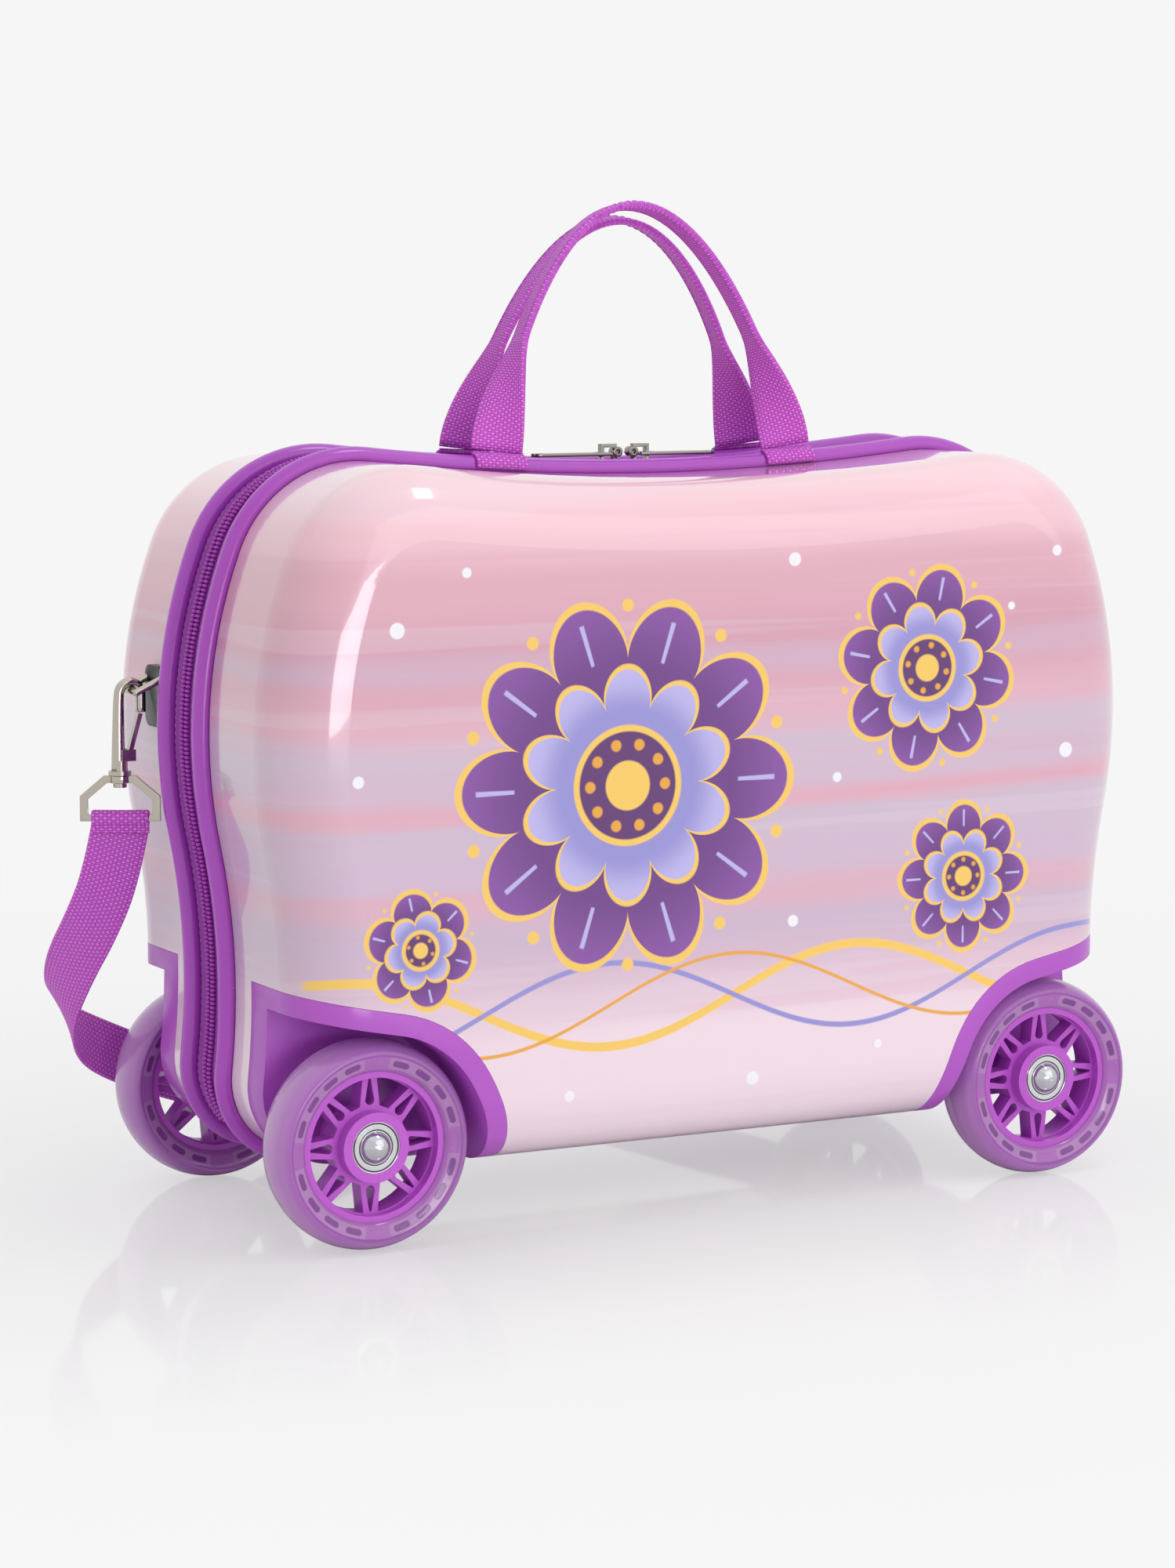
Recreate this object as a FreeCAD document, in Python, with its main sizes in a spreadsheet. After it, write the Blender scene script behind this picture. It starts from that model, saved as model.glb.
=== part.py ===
"""Ride-on suitcase: two moulded half shells on four light-up style wheels.

Frame: +Z up, X along the length, the front face towards -Y, origin on the
floor under the middle. The front half is drawn at y < 0 and mirrored for the
back half, the right-hand wheel housing is mirrored for the left one, and the
left-hand strap fittings are mirrored for the right ones. Millimetres.
"""
import FreeCAD
import Part
import Sketcher
import math
import os

from FreeCAD import Placement, Rotation, Vector

SIZES = [
    # wheels
    ("wheel_diameter", 90.0),
    ("wheel_width", 26.0),
    ("wheelbase", 336.0),
    ("wheel_inset", 17.0),
    ("hub_radius", 32.0),
    ("hub_width", 18.4),
    ("hub_rim_wall", 2.5),
    ("flange_radius", 39.0),
    ("flange_width", 10.0),
    ("web_width", 9.0),
    ("boss_radius", 15.0),
    ("boss_width", 22.0),
    ("spoke_root", 9.0),
    ("spoke_tip", 6.6),
    ("tread_shoulder", 38.0),
    ("bearing_diameter", 22.0),
    ("bearing_width", 7.0),
    ("axle_diameter", 8.0),
    ("axle_clearance", 0.05),
    ("bolt_head_diameter", 14.6),
    # half shells
    ("shell_length", 424.0),
    ("bulge_height", 212.0),
    ("waist_length", 402.0),
    ("waist_height", 104.0),
    ("crown_spacing", 286.0),
    ("crown_height", 329.0),
    ("dip_height", 321.0),
    ("corner_radius", 58.0),
    ("base_height", 31.6),
    ("base_radius", 33.0),
    ("body_depth", 202.0),
    ("face_round", 30.0),
    ("shell_wall", 2.2),
    ("rim_gap", 48.0),
    # edge piping, zip and hinge strip
    ("piping_diameter", 8.8),
    ("piping_rise", 1.6),
    ("welt_thickness", 0.6),
    ("welt_reach", 8.0),
    ("layer_gap", 0.1),
    ("tape_thickness", 1.2),
    ("teeth_width", 3.7),
    ("teeth_height", 6.0),
    ("zip_parting", 1.6),
    ("zip_end", 200.0),
    ("hinge_length", 300.0),
    ("hinge_parting", 0.2),
    ("lining_thickness", 0.8),
    # wheel housings
    ("well_clearance", 3.5),
    ("housing_rim", 9.0),
    ("housing_wall", 2.5),
    ("housing_fit", 0.15),
    ("well_depth", 43.5),
    ("strip_width", 14.0),
    ("lip_width", 8.0),
    ("lip_thickness", 2.0),
    ("arch_slope", 11.3),
    ("arch_foot", 29.0),
    ("arch_foot_grow", 37.5),
    ("axle_boss_radius", 9.0),
    ("nut_width", 13.0),
    ("nut_thickness", 6.2),
    # handles
    ("webbing_width", 25.0),
    ("webbing_thickness", 1.6),
    ("handle_spacing", 146.0),
    ("handle_rise", 108.0),
    ("back_handle_spacing", 141.0),
    ("back_handle_rise", 102.0),
    ("handle_lean", 6.5),
    ("arch_sides", 2.0),
    ("arch_crown", 1.3),
    ("twist_share", 0.46),
    ("handle_seat", 0.6),
    # zip sliders and pulls
    ("slider_length", 13.8),
    ("slider_width", 10.4),
    ("slider_plate", 1.3),
    ("slider_clearance", 0.35),
    ("slider_offset", 8.2),
    ("bridge_length", 8.0),
    ("bridge_width", 3.2),
    ("bridge_height", 7.5),
    ("barrel_radius", 2.3),
    ("barrel_length", 5.2),
    ("pull_length", 38.0),
    ("pull_eye_length", 6.8),
    ("pull_width", 7.0),
    ("pull_thickness", 1.6),
    # strap anchors, hooks and strap
    ("anchor_height", 226.0),
    ("anchor_depth", 34.0),
    ("anchor_plate_height", 27.0),
    ("anchor_plate_width", 20.0),
    ("anchor_plate_thickness", 2.0),
    ("bail_wire", 3.0),
    ("bail_width", 15.0),
    ("bail_reach", 13.0),
    ("hook_wire", 4.2),
    ("hook_bend_radius", 5.0),
    ("hook_length", 34.0),
    ("hook_tip", 8.0),
    ("swivel_turn", 27.7),
    ("eye_width", 35.0),
    ("eye_height", 20.0),
    ("eye_thickness", 3.0),
    ("strap_width", 25.0),
    ("strap_thickness", 1.6),
    # inside
    ("packing_strap_length", 340.0),
    ("packing_strap_width", 25.0),
    ("packing_strap_thickness", 1.2),
    ("packing_strap_spacing", 90.0),
    ("packing_height", 212.0),
    ("packing_gap", 0.3),
    ("buckle_length", 48.0),
    ("buckle_thickness", 6.0),
    ("buckle_margin", 4.0),
]

doc = FreeCAD.newDocument("ride_on_suitcase")
sheet = doc.addObject("Spreadsheet::Sheet", "Sizes")
for row, (alias, value) in enumerate(SIZES, start=1):
    sheet.set(f"A{row}", alias)
    sheet.set(f"B{row}", str(value))
    sheet.setAlias(f"B{row}", alias)
doc.recompute()

PARTS = []


def size(alias):
    return float(sheet.get(alias))


def keep(obj, label):
    obj.Label = label
    PARTS.append(obj)
    return obj


# Outline of the case: ten tangent arcs and a bottom line. Every arc keeps its
# centre when the outline is offset, so shells, piping and zip share them.

CORNER_X = "Sizes.crown_spacing/2"
CORNER_Z = "(Sizes.crown_height-Sizes.corner_radius)"
DIP_H = "(Sizes.dip_height-Sizes.crown_height+Sizes.corner_radius)"
DIP_R = (f"(({DIP_H})^2+({CORNER_X})^2-Sizes.corner_radius^2)"
         f"/(2*(Sizes.corner_radius-{DIP_H}))")
END_DX = "(Sizes.shell_length/2-Sizes.crown_spacing/2)"
END_DZ = f"({CORNER_Z}-Sizes.bulge_height)"
BULGE_R = (f"(({END_DX})^2+({END_DZ})^2-Sizes.corner_radius^2)"
           f"/(2*({END_DX}-Sizes.corner_radius))")
WAIST_A = f"({BULGE_R}-(Sizes.shell_length-Sizes.waist_length)/2)"
WAIST_R = (f"(({WAIST_A})^2+(Sizes.bulge_height-Sizes.waist_height)^2-({BULGE_R})^2)"
           f"/(Sizes.shell_length-Sizes.waist_length)")


def case_arcs():
    """Centre and radius of each arc of the right half, from the sheet."""
    rc = size("corner_radius")
    xc = size("crown_spacing") / 2
    zc = size("crown_height") - rc
    h = size("dip_height") - zc
    rd = (h * h + xc * xc - rc * rc) / (2 * (rc - h))
    xm = size("shell_length") / 2
    zb = size("bulge_height")
    dx = xm - xc
    dz = zc - zb
    rb = (dx * dx + dz * dz - rc * rc) / (2 * (dx - rc))
    xn = size("waist_length") / 2
    zw = size("waist_height")
    a = rb - (xm - xn)
    rw = (a * a + (zb - zw) ** 2 - rb * rb) / (2 * (xm - xn))
    rk = size("base_radius")
    zk = size("base_height") + rk
    xw = xn + rw
    xk = xw - math.sqrt((rw + rk) ** 2 - (zw - zk) ** 2)
    return {
        "dip": (0.0, size("dip_height") + rd, rd),
        "corner": (xc, zc, rc),
        "bulge": (xm - rb, zb, rb),
        "waist": (xw, zw, rw),
        "base": (xk, zk, rk),
    }


ARCS = case_arcs()


def case_points(off):
    """Joints of the right half outline, offset outwards by off."""
    def toward(a, b, length):
        d = Vector(b[0] - a[0], b[1] - a[1], 0)
        d.normalize()
        return Vector(a[0], a[1], 0) + d * length

    dip, corner, bulge, waist, base = (
        ARCS[k] for k in ("dip", "corner", "bulge", "waist", "base"))
    return [
        toward(corner, dip, corner[2] + off),
        toward(bulge, corner, bulge[2] + off),
        toward(bulge, waist, bulge[2] + off),
        toward(base, waist, base[2] + off),
        Vector(base[0], base[1] - base[2] - off, 0),
    ]


def arc_between(cx, cy, p, q):
    """The shorter arc about a centre from p to q, and whether p is its start."""
    a = math.atan2(p.y - cy, p.x - cx)
    b = math.atan2(q.y - cy, q.x - cx)
    radius = math.hypot(p.x - cx, p.y - cy)
    circle = Part.Circle(Vector(cx, cy, 0), Vector(0, 0, 1), radius)
    if (b - a) % (2 * math.pi) <= math.pi:
        return Part.ArcOfCircle(circle, a, a + (b - a) % (2 * math.pi)), True
    return Part.ArcOfCircle(circle, b, b + (a - b) % (2 * math.pi)), False


def origin_plane(body, role):
    return next(f for f in body.Origin.OriginFeatures if f.Role == role)


def sketch_on(body, name, role, lift):
    """A sketch on one of the body's origin planes, lifted along its normal."""
    sk = body.newObject("Sketcher::SketchObject", name)
    sk.AttachmentSupport = [(origin_plane(body, role), "")]
    sk.MapMode = "FlatFace"
    if lift:
        sk.setExpression("AttachmentOffset.Base.z", lift)
    return sk


def named(sk, constraint, name, expression):
    index = sk.addConstraint(constraint)
    sk.renameConstraint(index, name)
    sk.setExpression(f"Constraints.{name}", expression)


def case_loop(sk, off, tag):
    """Add the closed case outline, offset by the expression off, to a sketch."""
    d = float(doc.Sizes.evalExpression(off))
    right = case_points(d)
    left = [Vector(-p.x, p.y, 0) for p in right]
    chain = []
    order = ["corner", "bulge", "waist", "base"]
    chain.append(("dip", 1, left[0], right[0]))
    for i, key in enumerate(order):
        chain.append((key, 1, right[i], right[i + 1]))
    chain.append(("line", 1, right[4], left[4]))
    for i in range(3, -1, -1):
        chain.append((order[i], -1, left[i + 1], left[i]))
    made = []
    for key, side, p, q in chain:
        if key == "line":
            made.append((sk.addGeometry(Part.LineSegment(p, q)), True, key, side))
            continue
        cx, cy, _ = ARCS[key]
        arc, forward = arc_between(side * cx, cy, p, q)
        made.append((sk.addGeometry(arc), forward, key, side))
    for i, (geo, forward, _, _) in enumerate(made):
        nxt, nxt_forward, _, _ = made[(i + 1) % len(made)]
        sk.addConstraint(Sketcher.Constraint(
            "Tangent", geo, 2 if forward else 1, nxt, 1 if nxt_forward else 2))
    for geo, _, key, side in made:
        hand = "r" if side > 0 else "l"
        if key == "dip":
            named(sk, Sketcher.Constraint("Radius", geo, ARCS["dip"][2] - d),
                  f"dip_{tag}", f"{DIP_R}-({off})")
        elif key == "corner":
            named(sk, Sketcher.Constraint("Radius", geo, ARCS[key][2] + d),
                  f"corner_{hand}_{tag}", f"Sizes.corner_radius+({off})")
            named(sk, Sketcher.Constraint("DistanceX", geo, 3, side * ARCS[key][0]),
                  f"corner_x_{hand}_{tag}", f"{side}*{CORNER_X}")
            named(sk, Sketcher.Constraint("DistanceY", geo, 3, ARCS[key][1]),
                  f"corner_z_{hand}_{tag}", CORNER_Z)
        elif key == "bulge":
            named(sk, Sketcher.Constraint("Radius", geo, ARCS[key][2] + d),
                  f"bulge_{hand}_{tag}", f"{BULGE_R}+({off})")
            named(sk, Sketcher.Constraint("DistanceY", geo, 3, ARCS[key][1]),
                  f"bulge_z_{hand}_{tag}", "Sizes.bulge_height")
        elif key == "waist":
            named(sk, Sketcher.Constraint("Radius", geo, ARCS[key][2] - d),
                  f"waist_{hand}_{tag}", f"{WAIST_R}-({off})")
            named(sk, Sketcher.Constraint("DistanceY", geo, 3, ARCS[key][1]),
                  f"waist_z_{hand}_{tag}", "Sizes.waist_height")
        elif key == "base":
            named(sk, Sketcher.Constraint("Radius", geo, ARCS[key][2] + d),
                  f"base_{hand}_{tag}", f"Sizes.base_radius+({off})")
        elif key == "line":
            sk.addConstraint(Sketcher.Constraint("Horizontal", geo))
            named(sk, Sketcher.Constraint("DistanceY", geo, 1, size("base_height") - d),
                  f"bottom_{tag}", f"Sizes.base_height-({off})")


def case_volume(name, off, start):
    """Solid of the front half's space: padded outline with a rounded face."""
    body = doc.addObject("PartDesign::Body", name)
    sk = sketch_on(body, name + "_outline", "XZ_Plane", start)
    case_loop(sk, off, "a")
    pad = body.newObject("PartDesign::Pad", name + "_pad")
    pad.Profile = sk
    pad.setExpression("Length", f"Sizes.body_depth/2+({off})-({start})")
    doc.recompute()
    face_y = -(size("body_depth") / 2 + float(doc.Sizes.evalExpression(off)))
    edges = []
    for i, edge in enumerate(pad.Shape.Edges, start=1):
        if all(abs(v.Point.y - face_y) < 1e-4 for v in edge.Vertexes):
            edges.append(f"Edge{i}")
    fillet = body.newObject("PartDesign::Fillet", name + "_round")
    fillet.Base = (pad, edges)
    fillet.setExpression("Radius", f"Sizes.face_round+({off})")
    doc.recompute()
    body.Tip = fillet
    return body


def cut(name, base, tool):
    obj = doc.addObject("Part::Cut", name)
    obj.Base = base
    obj.Tool = tool
    return obj


def common(name, base, tool):
    obj = doc.addObject("Part::Common", name)
    obj.Base = base
    obj.Tool = tool
    return obj


def fuse(name, shapes):
    obj = doc.addObject("Part::MultiFuse", name)
    obj.Shapes = shapes
    obj.Refine = True
    return obj


def mirror(name, source, normal):
    obj = doc.addObject("Part::Mirroring", name)
    obj.Source = source
    obj.Normal = normal
    return obj


def group(name, objects):
    obj = doc.addObject("Part::Compound", name)
    obj.Links = objects
    return obj


ACROSS = Vector(1, 0, 0)
THROUGH = Vector(0, 1, 0)


def cylinder_y(name, radius, x, y, z, length):
    """A cylinder along -Y from y, all sizes given as expressions."""
    obj = doc.addObject("Part::Cylinder", name)
    obj.setExpression("Radius", radius)
    obj.setExpression("Height", length)
    obj.Placement = Placement(Vector(), Rotation(Vector(1, 0, 0), 90))
    obj.setExpression("Placement.Base.x", x)
    obj.setExpression("Placement.Base.y", y)
    obj.setExpression("Placement.Base.z", z)
    return obj


def cylinder_z(name, radius, x, y, z, length):
    obj = doc.addObject("Part::Cylinder", name)
    obj.setExpression("Radius", radius)
    obj.setExpression("Height", length)
    obj.setExpression("Placement.Base.x", x)
    obj.setExpression("Placement.Base.y", y)
    obj.setExpression("Placement.Base.z", z)
    return obj


def block(name, x, y, z, length, width, height):
    obj = doc.addObject("Part::Box", name)
    obj.setExpression("Length", length)
    obj.setExpression("Width", width)
    obj.setExpression("Height", height)
    obj.setExpression("Placement.Base.x", x)
    obj.setExpression("Placement.Base.y", y)
    obj.setExpression("Placement.Base.z", z)
    return obj


# Wheel arch profile about the right-hand wheel, offset by an expression.

ARCH_R = "(Sizes.wheel_diameter/2+Sizes.well_clearance)"


def arch_prism(name, off, start):
    """Corner prism under the arch, from y = -start outwards past the face."""
    body = doc.addObject("PartDesign::Body", name)
    sk = sketch_on(body, name + "_profile", "XZ_Plane", start)
    d = float(doc.Sizes.evalExpression(off))
    cx = size("wheelbase") / 2
    cz = size("wheel_diameter") / 2
    r1 = size("wheel_diameter") / 2 + size("well_clearance") + d
    grow = size("arch_foot_grow")
    r2 = r1 + grow
    slope = math.radians(size("arch_slope"))
    foot = math.pi - math.radians(size("arch_foot"))
    top = math.pi / 2 + slope
    fx = cx - grow * math.cos(foot)
    fz = cz - grow * math.sin(foot)
    p_top = Vector(cx + r1 * math.cos(top), cz + r1 * math.sin(top), 0)
    p_foot = Vector(cx + r1 * math.cos(foot), cz + r1 * math.sin(foot), 0)
    p_side = Vector(fx - r2, fz, 0)
    x_end = size("shell_length") / 2 + 40
    z_low = -20.0
    p_end = Vector(x_end, p_top.y + (x_end - p_top.x) * math.tan(slope), 0)
    p_end_low = Vector(x_end, z_low, 0)
    p_low = Vector(p_side.x, z_low, 0)
    arch, arch_fwd = arc_between(cx, cz, p_top, p_foot)
    toe, toe_fwd = arc_between(fx, fz, p_foot, p_side)
    g = [
        sk.addGeometry(Part.LineSegment(p_top, p_end)),
        sk.addGeometry(arch),
        sk.addGeometry(toe),
        sk.addGeometry(Part.LineSegment(p_side, p_low)),
        sk.addGeometry(Part.LineSegment(p_low, p_end_low)),
        sk.addGeometry(Part.LineSegment(p_end_low, p_end)),
    ]
    add = sk.addConstraint
    add(Sketcher.Constraint("Tangent", g[0], 1, g[1], 1 if arch_fwd else 2))
    add(Sketcher.Constraint("Tangent", g[1], 2 if arch_fwd else 1,
                            g[2], 1 if toe_fwd else 2))
    add(Sketcher.Constraint("Tangent", g[2], 2 if toe_fwd else 1, g[3], 1))
    add(Sketcher.Constraint("Coincident", g[3], 2, g[4], 1))
    add(Sketcher.Constraint("Coincident", g[4], 2, g[5], 1))
    add(Sketcher.Constraint("Coincident", g[5], 2, g[0], 2))
    add(Sketcher.Constraint("Vertical", g[3]))
    add(Sketcher.Constraint("Horizontal", g[4]))
    add(Sketcher.Constraint("Vertical", g[5]))
    add(Sketcher.Constraint("DistanceY", g[4], 1, z_low))
    named(sk, Sketcher.Constraint("DistanceX", g[1], 3, cx), "axle_x",
          "Sizes.wheelbase/2")
    named(sk, Sketcher.Constraint("DistanceY", g[1], 3, cz), "axle_z",
          "Sizes.wheel_diameter/2")
    named(sk, Sketcher.Constraint("Radius", g[1], r1), "arch_r", f"{ARCH_R}+({off})")
    named(sk, Sketcher.Constraint("Radius", g[2], r2), "toe_r",
          f"{ARCH_R}+({off})+Sizes.arch_foot_grow")
    named(sk, Sketcher.Constraint("DistanceX", g[2], 3, fx), "toe_x",
          "Sizes.wheelbase/2+Sizes.arch_foot_grow*cos(Sizes.arch_foot*1deg)")
    named(sk, Sketcher.Constraint("DistanceX", g[4], 2, x_end), "end_x",
          "Sizes.shell_length/2+40")
    named(sk, Sketcher.Constraint("Angle", g[0], slope), "slope",
          "Sizes.arch_slope*1deg")
    pad = body.newObject("PartDesign::Pad", name + "_pad")
    pad.Profile = sk
    pad.setExpression("Length", f"Sizes.body_depth/2+30-({start})")
    doc.recompute()
    return body


# Named planes of the front half, as distances from the middle plane.

RIM = "Sizes.rim_gap/2"
FACE = "Sizes.body_depth/2"
WELL_FLOOR = "(Sizes.body_depth/2-Sizes.well_depth)"
WELL_BACK = f"({WELL_FLOOR}-Sizes.housing_wall)"
STRIP = f"({WELL_BACK}-Sizes.strip_width)"
WELT_OUT = "(-Sizes.shell_wall-Sizes.layer_gap)"
WELT_IN = f"({WELT_OUT}-Sizes.welt_thickness)"
TAPE_OUT = f"({WELT_IN}-Sizes.layer_gap)"
TAPE_IN = f"({TAPE_OUT}-Sizes.tape_thickness)"
LIP_IN = "(-Sizes.shell_wall-Sizes.lip_thickness)"
LINING_OUT = f"({TAPE_IN}-0.3)"
LINING_IN = f"({LINING_OUT}-Sizes.lining_thickness)"
WELT_END = "(Sizes.rim_gap/2+Sizes.welt_reach)"
PIPING_Y = f"({RIM}-Sizes.piping_diameter/2-0.2)"


def value(expression):
    return float(sheet.evalExpression(expression))


def ring(name, label, outer, inner, start, length, cut_half, cut_top):
    """A band that follows the case outline, open along the bottom hinge."""
    body = doc.addObject("PartDesign::Body", name)
    sk = sketch_on(body, name + "_outline", "XZ_Plane", start)
    case_loop(sk, outer, "out")
    case_loop(sk, inner, "in")
    pad = body.newObject("PartDesign::Pad", name + "_pad")
    pad.Profile = sk
    pad.setExpression("Length", length)
    if cut_half:
        half = value(cut_half)
        top = value(cut_top)
        gap = sketch_on(body, name + "_gap", "XZ_Plane", start)
        corners = [Vector(-half, 0, 0), Vector(half, 0, 0),
                   Vector(half, top, 0), Vector(-half, top, 0)]
        lines = [gap.addGeometry(Part.LineSegment(corners[i], corners[(i + 1) % 4]))
                 for i in range(4)]
        for i in range(4):
            gap.addConstraint(Sketcher.Constraint(
                "Coincident", lines[i], 2, lines[(i + 1) % 4], 1))
        for i in (0, 2):
            gap.addConstraint(Sketcher.Constraint("Horizontal", lines[i]))
            gap.addConstraint(Sketcher.Constraint("Vertical", lines[i + 1]))
        gap.addConstraint(Sketcher.Constraint("DistanceY", lines[0], 1, 0.0))
        named(gap, Sketcher.Constraint("DistanceX", lines[0], 1, -half), "left",
              f"-({cut_half})")
        named(gap, Sketcher.Constraint("DistanceX", lines[0], 2, half), "right", cut_half)
        named(gap, Sketcher.Constraint("DistanceY", lines[1], 2, top), "top", cut_top)
        pocket = body.newObject("PartDesign::Pocket", name + "_open")
        pocket.Profile = gap
        pocket.Reversed = True
        pocket.setExpression("Length", length)
        doc.recompute()
        body.Tip = pocket
    doc.recompute()
    return keep(body, label)


def mirrored(name, label, source, normal):
    return keep(mirror(name, source, normal), label)


# Half shells and wheel housings

shell_space = case_volume("shell_space", "0", RIM)
shell_hollow = case_volume("shell_hollow", "-Sizes.shell_wall", f"{RIM}-2")
lip_hollow = case_volume("lip_hollow", LIP_IN, f"{RIM}-2")
rim_prism = arch_prism("rim_prism", "Sizes.housing_rim", STRIP)
seat_prism = arch_prism("seat_prism", "Sizes.housing_rim+Sizes.housing_fit",
                        f"{STRIP}-Sizes.housing_fit")
lip_prism = arch_prism("lip_prism", "Sizes.housing_rim+Sizes.lip_width",
                       f"{STRIP}-Sizes.lip_width+Sizes.layer_gap")
liner_prism = arch_prism("liner_prism", "Sizes.housing_wall", WELL_BACK)
well_prism = arch_prism("well_prism", "0", WELL_FLOOR)
doc.recompute()

tray = cut("tray", shell_space, shell_hollow)
tray_seats = fuse("tray_seats", [seat_prism, mirror("seat_left", seat_prism, ACROSS)])
front_shell = keep(cut("front_shell", tray, tray_seats), "front_shell")
back_shell = mirrored("back_shell", "back_shell", front_shell, THROUGH)

corner_block = common("corner_block", shell_space, rim_prism)
corner_skin = cut("corner_skin", corner_block, shell_hollow)
lip_skin = cut("lip_skin", shell_hollow, lip_hollow)
lip = common("lip", lip_skin, lip_prism)
liner = common("liner", liner_prism, shell_space)
moulding = cut("moulding", fuse("moulding_solid", [corner_skin, lip, liner]), well_prism)
AXLE_X = "Sizes.wheelbase/2"
AXLE_Z = "Sizes.wheel_diameter/2"
BEARING_IN = "((Sizes.body_depth/2-Sizes.wheel_inset)-Sizes.boss_width/2+0.4)"
boss = cylinder_y("axle_boss", "Sizes.axle_boss_radius", AXLE_X, f"-{WELL_BACK}", AXLE_Z,
                  f"(Sizes.body_depth/2-Sizes.wheel_inset)-Sizes.boss_width/2-1.6-{WELL_BACK}")
shoulder = cylinder_y("axle_shoulder", "Sizes.axle_diameter/2+1.6", AXLE_X,
                      f"-{WELL_BACK}", AXLE_Z, f"{BEARING_IN}-0.1-{WELL_BACK}")
bore = cylinder_y("axle_bore", "Sizes.axle_diameter/2", AXLE_X, f"-{WELL_BACK}+5", AXLE_Z,
                  "60")
nut_well = doc.addObject("Part::Prism", "nut_well")
nut_well.Polygon = 6
nut_well.Placement = Placement(Vector(), Rotation(Vector(1, 0, 0), 90))
nut_well.setExpression("Circumradius", "Sizes.nut_width/sqrt(3)+0.1")
nut_well.setExpression("Height", "Sizes.nut_thickness+5.2")
nut_well.setExpression("Placement.Base.x", AXLE_X)
nut_well.setExpression("Placement.Base.y", f"-{WELL_BACK}+5")
nut_well.setExpression("Placement.Base.z", AXLE_Z)
housing_right = cut("housing_right", fuse("housing_solid", [moulding, boss, shoulder]),
                    fuse("housing_holes", [bore, nut_well]))
keep(housing_right, "front_right_wheel_housing")
housing_left = mirrored("housing_left", "front_left_wheel_housing", housing_right, ACROSS)
mirrored("back_housing_right", "back_right_wheel_housing", housing_right, THROUGH)
mirrored("back_housing_left", "back_left_wheel_housing", housing_left, THROUGH)

# Axle bolts, captive nuts and bearing spacers, a pair for each half

BOLT_R = "(Sizes.axle_diameter/2-Sizes.axle_clearance)"
BOLT_SEAT = "((Sizes.body_depth/2-Sizes.wheel_inset)+Sizes.boss_width/2-0.4+0.05)"
shank = cylinder_y("bolt_shank", BOLT_R, AXLE_X, f"-{WELL_BACK}-0.3", AXLE_Z,
                   f"{BOLT_SEAT}-{WELL_BACK}")
head = doc.addObject("Part::Sphere", "bolt_dome")
head.setExpression("Radius", "Sizes.bolt_head_diameter/2")
head.Angle1 = 0
head.Placement = Placement(Vector(), Rotation(Vector(1, 0, 0), 90))
head.setExpression("Placement.Base.x", AXLE_X)
head.setExpression("Placement.Base.y", f"-{BOLT_SEAT}+2.6")
head.setExpression("Placement.Base.z", AXLE_Z)
head_room = cylinder_y("bolt_head_room", "Sizes.bolt_head_diameter/2", AXLE_X,
                       f"-{BOLT_SEAT}", AXLE_Z, "20")
dome = common("bolt_head", head, head_room)
bolt = fuse("bolt", [shank, dome])
bolts = keep(group("front_bolts", [bolt, mirror("bolt_left", bolt, ACROSS)]),
             "front_axle_bolts")
mirrored("back_bolts", "back_axle_bolts", bolts, THROUGH)

nut_hex = doc.addObject("Part::Prism", "nut_hex")
nut_hex.Polygon = 6
nut_hex.Placement = Placement(Vector(), Rotation(Vector(1, 0, 0), 90))
nut_hex.setExpression("Circumradius", "Sizes.nut_width/sqrt(3)")
nut_hex.setExpression("Height", "Sizes.nut_thickness")
nut_hex.setExpression("Placement.Base.x", AXLE_X)
nut_hex.setExpression("Placement.Base.y", f"-{WELL_BACK}-0.1")
nut_hex.setExpression("Placement.Base.z", AXLE_Z)
nut = cut("nut", nut_hex, bore)
nuts = keep(group("front_nuts", [nut, mirror("nut_left", nut, ACROSS)]), "front_axle_nuts")
mirrored("back_nuts", "back_axle_nuts", nuts, THROUGH)

spacer_tube = cylinder_y("spacer_tube", "Sizes.axle_diameter/2+2", AXLE_X,
                         f"-{BEARING_IN}-Sizes.bearing_width-0.1", AXLE_Z,
                         "Sizes.boss_width-0.8-2*Sizes.bearing_width-0.2")
spacer = cut("spacer", spacer_tube, bore)
spacers = keep(group("front_spacers", [spacer, mirror("spacer_left", spacer, ACROSS)]),
               "front_bearing_spacers")
mirrored("back_spacers", "back_bearing_spacers", spacers, THROUGH)


# Wheels: hub with eight forked spokes, tyre and a pair of bearings

def revolve_y(name, loops):
    """A body turned about Y from closed (radius, y) loops, sizes as expressions."""
    body = doc.addObject("PartDesign::Body", name)
    sk = sketch_on(body, name + "_profile", "XY_Plane", None)
    for n, loop in enumerate(loops):
        pts = [Vector(value(r), value(y), 0) for r, y in loop]
        lines = [sk.addGeometry(Part.LineSegment(pts[i], pts[(i + 1) % len(pts)]))
                 for i in range(len(pts))]
        for i, line in enumerate(lines):
            sk.addConstraint(Sketcher.Constraint(
                "Coincident", line, 2, lines[(i + 1) % len(lines)], 1))
        for i, (r, y) in enumerate(loop):
            named(sk, Sketcher.Constraint("DistanceX", lines[i], 1, pts[i].x),
                  f"r{n}_{i}", r)
            named(sk, Sketcher.Constraint("DistanceY", lines[i], 1, pts[i].y),
                  f"y{n}_{i}", y)
    turn = body.newObject("PartDesign::Revolution", name + "_turn")
    turn.Profile = sk
    turn.ReferenceAxis = (sk, ["V_Axis"])
    turn.Angle = 360
    doc.recompute()
    return body


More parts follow.
